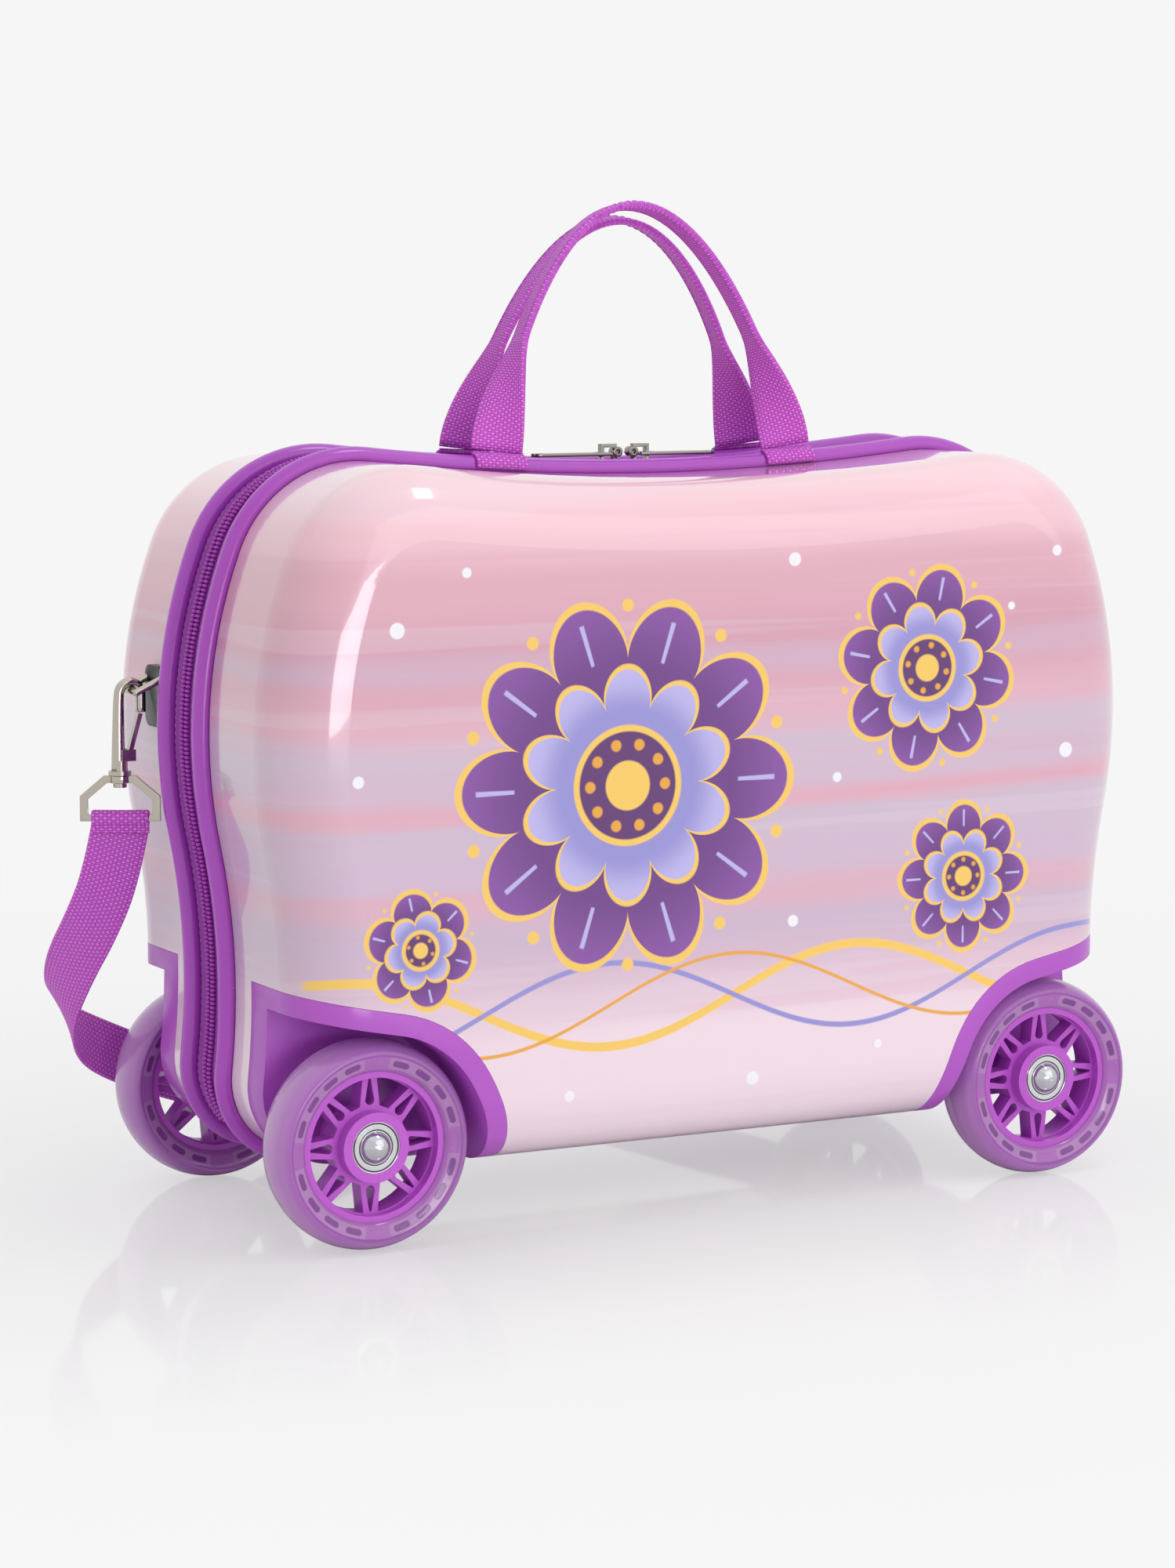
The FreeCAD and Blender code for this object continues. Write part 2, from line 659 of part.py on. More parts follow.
def pattern(body, feature, name, count):
    polar = body.newObject("PartDesign::PolarPattern", name)
    polar.Originals = [feature]
    polar.Axis = (origin_axis(body, "Y_Axis"), [""])
    polar.Angle = 360
    polar.Occurrences = count
    doc.recompute()
    body.Tip = polar
    return polar


def origin_axis(body, role):
    return next(f for f in body.Origin.OriginFeatures if f.Role == role)


def polar_point(radius, angle):
    return (radius * math.cos(angle), radius * math.sin(angle))


def make_hub(name):
    seat = "Sizes.bearing_diameter/2"
    body = revolve_y(name, [[
        (seat, "-Sizes.boss_width/2"),
        ("Sizes.boss_radius", "-Sizes.boss_width/2"),
        ("Sizes.boss_radius", "-Sizes.web_width/2"),
        ("Sizes.hub_radius-Sizes.hub_rim_wall", "-Sizes.web_width/2"),
        ("Sizes.hub_radius-Sizes.hub_rim_wall", "-Sizes.hub_width/2"),
        ("Sizes.hub_radius", "-Sizes.hub_width/2"),
        ("Sizes.hub_radius", "-Sizes.flange_width/2"),
        ("Sizes.flange_radius", "-Sizes.flange_width/2"),
        ("Sizes.flange_radius", "Sizes.flange_width/2"),
        ("Sizes.hub_radius", "Sizes.flange_width/2"),
        ("Sizes.hub_radius", "Sizes.hub_width/2"),
        ("Sizes.hub_radius-Sizes.hub_rim_wall", "Sizes.hub_width/2"),
        ("Sizes.hub_radius-Sizes.hub_rim_wall", "Sizes.web_width/2"),
        ("Sizes.boss_radius", "Sizes.web_width/2"),
        ("Sizes.boss_radius", "Sizes.boss_width/2"),
        (seat, "Sizes.boss_width/2"),
        (seat, "Sizes.boss_width/2-0.4-Sizes.bearing_width"),
        ("Sizes.axle_diameter/2+4", "Sizes.boss_width/2-0.4-Sizes.bearing_width"),
        ("Sizes.axle_diameter/2+4", "-Sizes.boss_width/2+0.4+Sizes.bearing_width"),
        (seat, "-Sizes.boss_width/2+0.4+Sizes.bearing_width"),
    ]])
    inner = size("boss_radius") + 2.2
    outer = size("hub_radius") - size("hub_rim_wall") - 0.6
    root = size("spoke_root") / 2
    tip = size("spoke_tip") / 2
    mid = math.pi / 8
    a_in = math.asin(root / inner)
    a_out = math.asin(tip / outer)
    window = sketch_on(body, name + "_window", "XZ_Plane", "-Sizes.boss_width")
    pts = [polar_point(inner, a_in), polar_point(outer, a_out),
           polar_point(outer, 2 * mid - a_out), polar_point(inner, 2 * mid - a_in)]
    arc = Part.Arc(Vector(*pts[1], 0), Vector(*polar_point(outer, mid), 0), Vector(*pts[2], 0))
    g = [window.addGeometry(Part.LineSegment(Vector(*pts[0], 0), Vector(*pts[1], 0))),
         window.addGeometry(arc),
         window.addGeometry(Part.LineSegment(Vector(*pts[2], 0), Vector(*pts[3], 0))),
         window.addGeometry(Part.LineSegment(Vector(*pts[3], 0), Vector(*pts[0], 0)))]
    for i in range(4):
        window.addConstraint(Sketcher.Constraint("Coincident", g[i], 2, g[(i + 1) % 4], 1))
    # teardrop slot that forks each spoke, round end at the boss
    slot = sketch_on(body, name + "_slot", "XZ_Plane", "-Sizes.boss_width")
    bulb = root - 2.4
    c = inner + bulb
    point = outer - 0.6
    a = Vector(c, bulb, 0)
    b = Vector(c, -bulb, 0)
    s = [slot.addGeometry(Part.LineSegment(Vector(point, 0.5, 0), a)),
         slot.addGeometry(Part.Arc(a, Vector(c - bulb, 0, 0), b)),
         slot.addGeometry(Part.LineSegment(b, Vector(point, -0.5, 0))),
         slot.addGeometry(Part.LineSegment(Vector(point, -0.5, 0), Vector(point, 0.5, 0)))]
    for i in range(4):
        slot.addConstraint(Sketcher.Constraint("Coincident", s[i], 2, s[(i + 1) % 4], 1))
    # dark slots through the flange that the tyre is moulded round
    port = sketch_on(body, name + "_port", "XZ_Plane", "-Sizes.boss_width")
    middle = (size("hub_radius") + size("flange_radius")) / 2
    edges = [Vector(middle - 1, -2.5, 0), Vector(middle + 1, -2.5, 0),
             Vector(middle + 1, 2.5, 0), Vector(middle - 1, 2.5, 0)]
    q = [port.addGeometry(Part.LineSegment(edges[i], edges[(i + 1) % 4])) for i in range(4)]
    for i in range(4):
        port.addConstraint(Sketcher.Constraint("Coincident", q[i], 2, q[(i + 1) % 4], 1))
    for sk, count in ((window, 8), (slot, 8), (port, 16)):
        pocket = body.newObject("PartDesign::Pocket", sk.Name + "_cut")
        pocket.Profile = sk
        pocket.Reversed = True
        pocket.setExpression("Length", "2*Sizes.boss_width")
        doc.recompute()
        pattern(body, pocket, sk.Name + "_ring", count)
    return body


def make_tyre(name, hub):
    body = doc.addObject("PartDesign::Body", name + "_rubber")
    sk = sketch_on(body, name + "_profile", "XY_Plane", None)
    r_in = size("hub_radius")
    half = size("hub_width") / 2
    shoulder_r = size("tread_shoulder")
    width = size("wheel_width") / 2
    crown = size("wheel_diameter") / 2
    pts = [Vector(r_in, -half, 0), Vector(r_in + 1.6, -half - 2.2, 0),
           Vector(shoulder_r, -width, 0), Vector(crown, 0, 0),
           Vector(shoulder_r, width, 0), Vector(r_in + 1.6, half + 2.2, 0),
           Vector(r_in, half, 0)]
    g = [sk.addGeometry(Part.LineSegment(pts[0], pts[1])),
         sk.addGeometry(Part.LineSegment(pts[1], pts[2])),
         sk.addGeometry(Part.Arc(pts[2], pts[3], pts[4])),
         sk.addGeometry(Part.LineSegment(pts[4], pts[5])),
         sk.addGeometry(Part.LineSegment(pts[5], pts[6])),
         sk.addGeometry(Part.LineSegment(pts[6], pts[0]))]
    for i in range(6):
        sk.addConstraint(Sketcher.Constraint("Coincident", g[i], 2, g[(i + 1) % 6], 1))
    turn = body.newObject("PartDesign::Revolution", name + "_turn")
    turn.Profile = sk
    turn.ReferenceAxis = (sk, ["V_Axis"])
    turn.Angle = 360
    doc.recompute()
    return cut(name, body, hub)


hub_form = make_hub("hub_form")
tyre_form = make_tyre("tyre_form", hub_form)
BALL_OUT = "Sizes.boss_width/2-0.4"
bearing_form = revolve_y("bearing_form", [
    [("Sizes.axle_diameter/2", f"-({BALL_OUT})"),
     ("Sizes.bearing_diameter/2", f"-({BALL_OUT})"),
     ("Sizes.bearing_diameter/2", f"-({BALL_OUT})+Sizes.bearing_width"),
     ("Sizes.axle_diameter/2", f"-({BALL_OUT})+Sizes.bearing_width")],
])
bearing_far = mirror("bearing_far", bearing_form, THROUGH)
bearing_pair = group("bearing_pair", [bearing_form, bearing_far])


def place_wheel_piece(source, name, label, side, half):
    obj = doc.addObject("App::Link", name)
    obj.LinkedObject = source
    obj.setExpression("Placement.Base.x", f"{side}*Sizes.wheelbase/2")
    obj.setExpression("Placement.Base.y", f"{half}*(Sizes.body_depth/2-Sizes.wheel_inset)")
    obj.setExpression("Placement.Base.z", "Sizes.wheel_diameter/2")
    return keep(obj, label)


for half_name, half in (("front", -1), ("back", 1)):
    for side_name, side in (("left", -1), ("right", 1)):
        where = f"{half_name}_{side_name}"
        place_wheel_piece(hub_form, f"{where}_hub_link", f"{where}_hub", side, half)
        place_wheel_piece(tyre_form, f"{where}_tyre_link", f"{where}_tyre", side, half)
        place_wheel_piece(bearing_pair, f"{where}_bearing_link", f"{where}_bearings",
                          side, half)

# Edge piping with its sewn-in welt, zip tapes, zip teeth and bottom hinge strip

piping = doc.addObject("PartDesign::Body", "front_piping")
spine = sketch_on(piping, "piping_path", "XZ_Plane", PIPING_Y)
case_loop(spine, "Sizes.piping_rise", "a")
section = sketch_on(piping, "piping_section", "YZ_Plane", None)
tube_z = size("dip_height") + size("piping_rise")
round_edge = section.addGeometry(Part.Circle(
    Vector(-value(PIPING_Y), tube_z, 0), Vector(0, 0, 1), size("piping_diameter") / 2))
named(section, Sketcher.Constraint("Radius", round_edge, size("piping_diameter") / 2),
      "tube", "Sizes.piping_diameter/2")
named(section, Sketcher.Constraint("DistanceX", round_edge, 3, -value(PIPING_Y)),
      "tube_y", f"-{PIPING_Y}")
named(section, Sketcher.Constraint("DistanceY", round_edge, 3, tube_z),
      "tube_z", "Sizes.dip_height+Sizes.piping_rise")
tube = piping.newObject("PartDesign::AdditivePipe", "piping_tube")
tube.Profile = section
tube.Spine = spine
doc.recompute()
welt_sketch = sketch_on(piping, "welt_outline", "XZ_Plane", PIPING_Y)
case_loop(welt_sketch, WELT_OUT, "out")
case_loop(welt_sketch, WELT_IN, "in")
welt = piping.newObject("PartDesign::Pad", "welt")
welt.Profile = welt_sketch
welt.setExpression("Length", f"{WELT_END}-{PIPING_Y}")
doc.recompute()
piping.Tip = welt
keep(piping, "front_piping")
mirrored("back_piping", "back_piping", piping, THROUGH)

zip_tape = ring("front_zip_tape", "front_zip_tape", TAPE_OUT, TAPE_IN,
                "Sizes.zip_parting/2", f"{WELT_END}-Sizes.zip_parting/2",
                "Sizes.hinge_length/2+2", "Sizes.base_height+12")
mirrored("back_zip_tape", "back_zip_tape", zip_tape, THROUGH)
zip_teeth = ring("front_zip_teeth", "front_zip_teeth", f"{TAPE_OUT}+Sizes.teeth_height",
                 TAPE_OUT, "Sizes.zip_parting/2", "Sizes.teeth_width",
                 "Sizes.zip_end", "Sizes.base_height+12")
mirrored("back_zip_teeth", "back_zip_teeth", zip_teeth, THROUGH)
hinge = keep(block("front_hinge_strip", "-Sizes.hinge_length/2", f"-{WELT_END}",
                   f"Sizes.base_height-{TAPE_OUT}", "Sizes.hinge_length",
                   f"{WELT_END}-Sizes.hinge_parting/2", "Sizes.tape_thickness"),
             "front_hinge_strip")
mirrored("back_hinge", "back_hinge_strip", hinge, THROUGH)

# Lining, which follows the hollow of the shell and goes round the wheel wells

lining_space = case_volume("lining_space", LINING_OUT, f"{RIM}+1")
lining_hollow = case_volume("lining_hollow", LINING_IN, f"{RIM}-2")
COVER_OUT = "Sizes.housing_wall+0.3"
COVER_IN = f"{COVER_OUT}+Sizes.lining_thickness"
cover_prism = arch_prism("cover_prism", COVER_OUT, f"{WELL_BACK}-0.3")
cover_hollow = arch_prism("cover_hollow", COVER_IN, f"{WELL_BACK}-0.3-Sizes.lining_thickness")
lining_block = cut("lining_block", lining_space, fuse(
    "cover_pair", [cover_prism, mirror("cover_left", cover_prism, ACROSS)]))
lining_room = cut("lining_room", lining_hollow, fuse(
    "hollow_pair", [cover_hollow, mirror("cover_hollow_left", cover_hollow, ACROSS)]))
lining = keep(cut("front_lining", lining_block, lining_room), "front_lining")
mirrored("back_lining", "back_lining", lining, THROUGH)

# Carry handles: webbing loops that stand on the piping and twist flat on top

DIP_X, DIP_Z, DIP_RADIUS = ARCS["dip"]
TUBE_R = DIP_RADIUS - size("piping_rise")


def tube_height(x):
    """Height of the piping's centre line over the saddle dip."""
    return DIP_Z - math.sqrt(TUBE_R ** 2 - x ** 2)


def band_section(centre, across, through, width, thickness):
    """A closed rectangle of webbing, centred on a point of its path."""
    u = Vector(across)
    u.normalize()
    v = Vector(through)
    v = v - u * v.dot(u)
    v.normalize()
    u = u * (width / 2)
    v = v * (thickness / 2)
    return Part.makePolygon([centre - u - v, centre + u - v, centre + u + v,
                             centre - u + v, centre - u - v])


def arch_point(t, spacing, rise):
    """Across and up from the foot, on an arch that is fuller than an ellipse."""
    c = math.cos(t)
    s = max(math.sin(t), 0.0)
    return (-spacing / 2 * math.copysign(abs(c) ** (2 / size("arch_sides")), c),
            rise * s ** (2 / size("arch_crown")))


def handle(name, label, half, spacing, rise):
    """Loop of webbing on a leaning plane, turned on edge and folded over to half its width
    at the grip; its feet take half the slope of the piping, so that they clear it both
    upright and folded down."""
    pivot = Vector(0, half * value(PIPING_Y), tube_height(spacing / 2))
    lean = math.radians(size("handle_lean"))
    up = Vector(0, -half * math.sin(lean), math.cos(lean))
    out = Vector(0, half * math.cos(lean), math.sin(lean))
    foot = (size("piping_diameter") / 2 + size("layer_gap") + size("webbing_thickness")
            + size("handle_seat"))
    sections = []
    count = 20
    step = 1e-3
    for i in range(count + 1):
        t = math.pi * i / count
        x, v = arch_point(t, spacing, rise)
        x0, v0 = arch_point(t - step, spacing, rise)
        x1, v1 = arch_point(t + step, spacing, rise)
        along = Vector(x1 - x0, 0, 0) + up * (v1 - v0)
        if i in (0, count):
            rightward = 1 if i == 0 else -1
            along = (up * (2 * TUBE_R) - Vector(x, 0, 0)) * rightward
        along.normalize()
        inward = along.cross(out)
        blend = min(v / (size("twist_share") * rise), 1.0)
        twist = math.pi / 2 * blend
        if x > 0:
            inward = inward * -1
        across = inward * math.cos(twist) + out * math.sin(twist)
        sections.append(band_section(pivot + Vector(x, 0, 0) + up * (foot + v), across,
                                     along.cross(across),
                                     size("webbing_width") * (1 - blend / 2),
                                     size("webbing_thickness") * (1 + blend)))
    obj = doc.addObject("Part::Feature", name)
    obj.Shape = Part.makeLoft(sections, True, True)
    obj.Placement = Placement()
    return keep(obj, label)


handle("front_handle_loop", "front_handle", -1, size("handle_spacing"), size("handle_rise"))
handle("back_handle_loop", "back_handle", 1, size("back_handle_spacing"),
       size("back_handle_rise"))


def handle_tab(name, spacing):
    """Webbing end sewn over the front of the piping, at the right-hand foot."""
    x = spacing / 2
    tilt = Rotation(Vector(0, 1, 0), -math.degrees(math.asin(x / TUBE_R)))
    turn = Rotation(Vector(0, 0, 1), Vector(0, -1, 0), Vector(1, 0, 0), "XYZ")
    pieces = []
    inner = "Sizes.piping_diameter/2+Sizes.layer_gap"
    for suffix, radius in (("_outer", inner + "+Sizes.webbing_thickness"), ("_inner", inner)):
        obj = doc.addObject("Part::Cylinder", name + suffix)
        obj.setExpression("Radius", radius)
        obj.setExpression("Height", "Sizes.webbing_width")
        obj.Angle = 106
        spin = tilt.multiply(turn).multiply(Rotation(Vector(0, 0, 1), -10))
        start = Vector(x, -value(PIPING_Y), tube_height(x))
        along = tilt.multVec(Vector(1, 0, 0)) * (-size("webbing_width") / 2)
        obj.Placement = Placement(start + along, spin)
        pieces.append(obj)
    return cut(name, pieces[0], pieces[1])


front_tab = handle_tab("front_tab", size("handle_spacing"))
keep(group("front_tabs", [front_tab, mirror("front_tab_left", front_tab, ACROSS)]),
     "front_handle_tabs")
back_tab = mirror("back_tab", handle_tab("back_tab_form", size("back_handle_spacing")), THROUGH)
keep(group("back_tabs", [back_tab, mirror("back_tab_left", back_tab, ACROSS)]),
     "back_handle_tabs")

# Zip sliders with their bridges, and pull tabs on a pin under each bridge


def plate(name, points, lift, thickness):
    """A flat plate drawn on the XY plane; points and lift are expressions."""
    body = doc.addObject("PartDesign::Body", name)
    sk = sketch_on(body, name + "_outline", "XY_Plane", lift)
    pts = [Vector(value(x), value(y), 0) for x, y in points]
    lines = [sk.addGeometry(Part.LineSegment(pts[i], pts[(i + 1) % len(pts)]))
             for i in range(len(pts))]
    for i, line in enumerate(lines):
        sk.addConstraint(Sketcher.Constraint(
            "Coincident", line, 2, lines[(i + 1) % len(lines)], 1))
    for i, (x, y) in enumerate(points):
        named(sk, Sketcher.Constraint("DistanceX", lines[i], 1, pts[i].x), f"x_{i}", x)
        named(sk, Sketcher.Constraint("DistanceY", lines[i], 1, pts[i].y), f"y_{i}", y)
    pad = body.newObject("PartDesign::Pad", name + "_pad")
    pad.Profile = sk
    pad.setExpression("Length", thickness)
    doc.recompute()
    return body


SL_X = "Sizes.slider_offset"
SL_TOP = f"(Sizes.dip_height+{TAPE_OUT}+Sizes.teeth_height+Sizes.slider_clearance)"
SL_LOW = f"(Sizes.dip_height+{TAPE_IN}-Sizes.slider_clearance-Sizes.slider_plate)"
SL_NOSE = f"({SL_X}-Sizes.slider_length/2)"
SL_TAIL = f"({SL_X}+Sizes.slider_length/2)"
SL_W = "Sizes.slider_width/2"
slider_outline = [
    (SL_NOSE, f"-{SL_W}*0.62"), (f"{SL_NOSE}+3.4", f"-{SL_W}"), (f"{SL_X}+1", f"-{SL_W}"),
    (SL_TAIL, f"-{SL_W}*0.78"), (SL_TAIL, f"{SL_W}*0.78"), (f"{SL_X}+1", SL_W),
    (f"{SL_NOSE}+3.4", SL_W), (SL_NOSE, f"{SL_W}*0.62")]
slider_top = plate("slider_top", slider_outline, SL_TOP, "Sizes.slider_plate")
slider_low = plate("slider_low", slider_outline, SL_LOW, "Sizes.slider_plate")
POST_W = "(Sizes.zip_parting-0.6)"
post = block("slider_post", f"{SL_NOSE}+1", f"-{POST_W}/2", SL_LOW, "3.2", POST_W,
             f"{SL_TOP}-{SL_LOW}+0.2")
DECK = f"({SL_TOP}+Sizes.slider_plate)"
bridge_block = block("bridge_block", f"{SL_X}-Sizes.bridge_length/2", "-Sizes.bridge_width/2",
                     f"{DECK}-0.2", "Sizes.bridge_length", "Sizes.bridge_width",
                     "Sizes.bridge_height+0.2")
bridge_window = block("bridge_window", f"{SL_X}-Sizes.bridge_length/2+1.6", "-10",
                      f"{DECK}-0.01", "Sizes.bridge_length-3.2", "20",
                      "Sizes.bridge_height-1.6")
BARREL_X = f"({SL_X}-Sizes.bridge_length/2-0.2)"
BARREL_Z = f"({DECK}+Sizes.bridge_height/2+0.2)"
barrel = cylinder_y("slider_barrel", "Sizes.barrel_radius", BARREL_X,
                    "Sizes.barrel_length/2", BARREL_Z, "Sizes.barrel_length")
barrel_eye = cylinder_y("barrel_eye", "Sizes.barrel_radius/2.2", BARREL_X,
                        "Sizes.barrel_length", BARREL_Z, "2*Sizes.barrel_length")
slider_right = keep(cut("right_slider", fuse("right_slider_solid", [
    slider_top, slider_low, post, cut("bridge", bridge_block, bridge_window), barrel]),
    barrel_eye), "right_zip_slider")
mirrored("left_slider", "left_zip_slider", slider_right, ACROSS)

PIN_Z = f"({DECK}+(Sizes.bridge_height-1.6)/2)"
PULL_Z = f"({PIN_Z}-Sizes.pull_thickness/2)"
pull_bar = block("pull_bar", f"{SL_X}+Sizes.pull_eye_length", "-Sizes.pull_width/2", PULL_Z,
                 "Sizes.pull_length-Sizes.pull_eye_length-Sizes.pull_width/2", "Sizes.pull_width",
                 "Sizes.pull_thickness")
pull_end = cylinder_z("pull_end", "Sizes.pull_width/2",
                      f"{SL_X}+Sizes.pull_length-Sizes.pull_width/2", "0", PULL_Z,
                      "Sizes.pull_thickness")
pull_hole = cylinder_z("pull_hole", "Sizes.pull_width/4.6",
                       f"{SL_X}+Sizes.pull_length-Sizes.pull_width/2", "0", f"{PULL_Z}-1",
                       "Sizes.pull_thickness+2")
pull_arm = block("pull_arm", f"{SL_X}-0.8", "2", PULL_Z, "Sizes.pull_eye_length+1.2",
                 "Sizes.pull_width/2-2", "Sizes.pull_thickness")
pull_arm_far = mirror("pull_arm_far", pull_arm, THROUGH)
pull_pin = cylinder_y("pull_pin", "0.8", SL_X, "Sizes.pull_width/2", PIN_Z, "Sizes.pull_width")
pull_right = keep(cut("right_pull", fuse("right_pull_solid", [
    pull_bar, pull_end, pull_arm, pull_arm_far, pull_pin]), pull_hole), "right_zip_pull")
mirrored("left_pull", "left_zip_pull", pull_right, ACROSS)

# Strap anchors: a cast plate that follows the shell's end, with a wire bail

back_space = mirror("back_space", shell_space, THROUGH)
ANCHOR_X = "(Sizes.shell_length/2+Sizes.anchor_plate_thickness)"
plate_block = block("anchor_block", f"-{ANCHOR_X}",
                    "Sizes.anchor_depth-Sizes.anchor_plate_width/2",
                    "Sizes.anchor_height-Sizes.anchor_plate_height/2", "8",
                    "Sizes.anchor_plate_width", "Sizes.anchor_plate_height")
doc.recompute()
plate_round = doc.addObject("Part::Fillet", "anchor_round")
plate_round.Base = plate_block
plate_round.Edges = [
    (i, 5.0, 5.0) for i, e in enumerate(plate_block.Shape.Edges, start=1)
    if abs(e.Vertexes[0].Point.x - e.Vertexes[1].Point.x) > 1]
anchor_plate = cut("anchor_plate", plate_round, back_space)
BAIL_R = size("bail_wire") / 2
BOW_X = -(size("shell_length") / 2 + size("bail_reach"))
BOW_Z = size("anchor_height") + 2.5
ROOT_X = -(size("shell_length") / 2 + size("anchor_plate_thickness") - 0.8)
ROOT_Z = size("anchor_height") + 8.0


def rod(name, start, end, radius):
    obj = doc.addObject("Part::Cylinder", name)
    obj.setExpression("Radius", radius)
    obj.Height = (end - start).Length
    obj.Placement = Placement(start, Rotation(Vector(0, 0, 1), end - start))
    return obj


bail = [anchor_plate]
for tag, sign in (("near", -1), ("far", 1)):
    y = size("anchor_depth") + sign * size("bail_width") / 2
    bail.append(rod(f"bail_arm_{tag}", Vector(ROOT_X, y, ROOT_Z), Vector(BOW_X, y, BOW_Z),
                    "Sizes.bail_wire/2"))
    knuckle = doc.addObject("Part::Sphere", f"bail_bend_{tag}")
    knuckle.setExpression("Radius", "Sizes.bail_wire/2")
    knuckle.Placement = Placement(Vector(BOW_X, y, BOW_Z), Rotation())
    bail.append(knuckle)
bail.append(rod("bail_bow",
                Vector(BOW_X, size("anchor_depth") - size("bail_width") / 2, BOW_Z),
                Vector(BOW_X, size("anchor_depth") + size("bail_width") / 2, BOW_Z),
                "Sizes.bail_wire/2"))
anchor_left = keep(fuse("left_anchor", bail), "left_strap_anchor")
mirrored("right_anchor", "right_strap_anchor", anchor_left, ACROSS)

# Swivel snap hooks: bent hook on the bail, sprung gate, swivel eye for the strap

HOOK_R = size("hook_wire") / 2
BEND = size("hook_bend_radius")
BEND_Z = BOW_Z + BAIL_R + 0.3 - (BEND - HOOK_R)
SHANK_X = BOW_X - BEND
FOOT_Z = BEND_Z - size("hook_length")
HOOK_Y = size("anchor_depth")
hook_path = Part.Wire([
    Part.LineSegment(Vector(SHANK_X, HOOK_Y, FOOT_Z), Vector(SHANK_X, HOOK_Y, BEND_Z)).toShape(),
    Part.Arc(Vector(SHANK_X, HOOK_Y, BEND_Z), Vector(BOW_X, HOOK_Y, BEND_Z + BEND),
             Vector(BOW_X + BEND, HOOK_Y, BEND_Z)).toShape(),
    Part.LineSegment(Vector(BOW_X + BEND, HOOK_Y, BEND_Z),
                     Vector(BOW_X + BEND, HOOK_Y, BEND_Z - size("hook_tip"))).toShape()])
hook_route = doc.addObject("Part::Feature", "hook_route")
hook_route.Shape = hook_path
hook_section = doc.addObject("Part::Circle", "hook_section")
hook_section.setExpression("Radius", "Sizes.hook_wire/2")
hook_section.Placement = Placement(Vector(SHANK_X, HOOK_Y, FOOT_Z), Rotation())
hook_bend = doc.addObject("Part::Sweep", "hook_bend")
hook_bend.Sections = [hook_section]
hook_bend.Spine = (hook_route, ["Edge1", "Edge2", "Edge3"])
hook_bend.Solid = True


def upright(name, radius, low, high):
    obj = doc.addObject("Part::Cylinder", name)
    obj.Radius = radius
    obj.Height = high - low
    obj.Placement = Placement(Vector(SHANK_X, HOOK_Y, low), Rotation())
    return obj


EYE_TOP = FOOT_Z - 1.3
EYE_BAR = 3.2
LUG_Z = FOOT_Z + 5.0
PIVOT = Vector(SHANK_X + 4.2, HOOK_Y, LUG_Z + 2.5)
lugs = []
for tag, y in (("near", -3.1), ("far", 1.9)):
    lug = doc.addObject("Part::Box", f"gate_lug_{tag}")
    lug.Length = 6.4
    lug.Width = 1.2
    lug.Height = 5.0
    lug.Placement = Placement(Vector(SHANK_X, HOOK_Y + y, LUG_Z), Rotation())
    lugs.append(lug)
lug_hole = doc.addObject("Part::Cylinder", "gate_lug_hole")
lug_hole.Radius = 1.0
lug_hole.Height = 12.0
lug_hole.Placement = Placement(PIVOT + Vector(0, 6, 0), Rotation(Vector(1, 0, 0), 90))
hook_left = keep(fuse("left_hook", [
    hook_bend, cut("gate_lugs", fuse("gate_lug_pair", lugs), lug_hole),
    upright("hook_barrel", HOOK_R + 1.4, FOOT_Z - 0.2, LUG_Z + 0.4),
    upright("hook_collar", HOOK_R + 2.9, FOOT_Z - 1.0, FOOT_Z + 0.8),
    upright("swivel_pin", 1.8, EYE_TOP - EYE_BAR - 2.0, FOOT_Z),
    upright("swivel_rivet", 3.0, EYE_TOP - EYE_BAR - 2.0, EYE_TOP - EYE_BAR - 0.3)]),
    "left_hook")
mirrored("right_hook", "right_hook", hook_left, ACROSS)

GATE_END = Vector(BOW_X + BEND - 0.6, HOOK_Y, BEND_Z - size("hook_tip") - 0.5)
gate_line = GATE_END - PIVOT
gate_bar = doc.addObject("Part::Box", "gate_bar")
gate_bar.Length = 2.0
gate_bar.Width = 3.0
gate_bar.Height = gate_line.Length
gate_turn = Rotation(Vector(0, 1, 0), math.degrees(math.atan2(gate_line.x, gate_line.z)))
gate_bar.Placement = Placement(PIVOT + gate_turn.multVec(Vector(-1, -1.5, 0)), gate_turn)
gate_root = doc.addObject("Part::Cylinder", "gate_root")
gate_root.Radius = 1.7
gate_root.Height = 3.0
gate_root.Placement = Placement(PIVOT + Vector(0, 1.5, 0), Rotation(Vector(1, 0, 0), 90))
gate_pin = doc.addObject("Part::Cylinder", "gate_pin")
gate_pin.Radius = 0.9
gate_pin.Height = 6.6
gate_pin.Placement = Placement(PIVOT + Vector(0, 3.3, 0), Rotation(Vector(1, 0, 0), 90))
gate_left = keep(fuse("left_gate", [gate_bar, gate_root, gate_pin]), "left_hook_gate")
mirrored("right_gate", "right_hook_gate", gate_left, ACROSS)

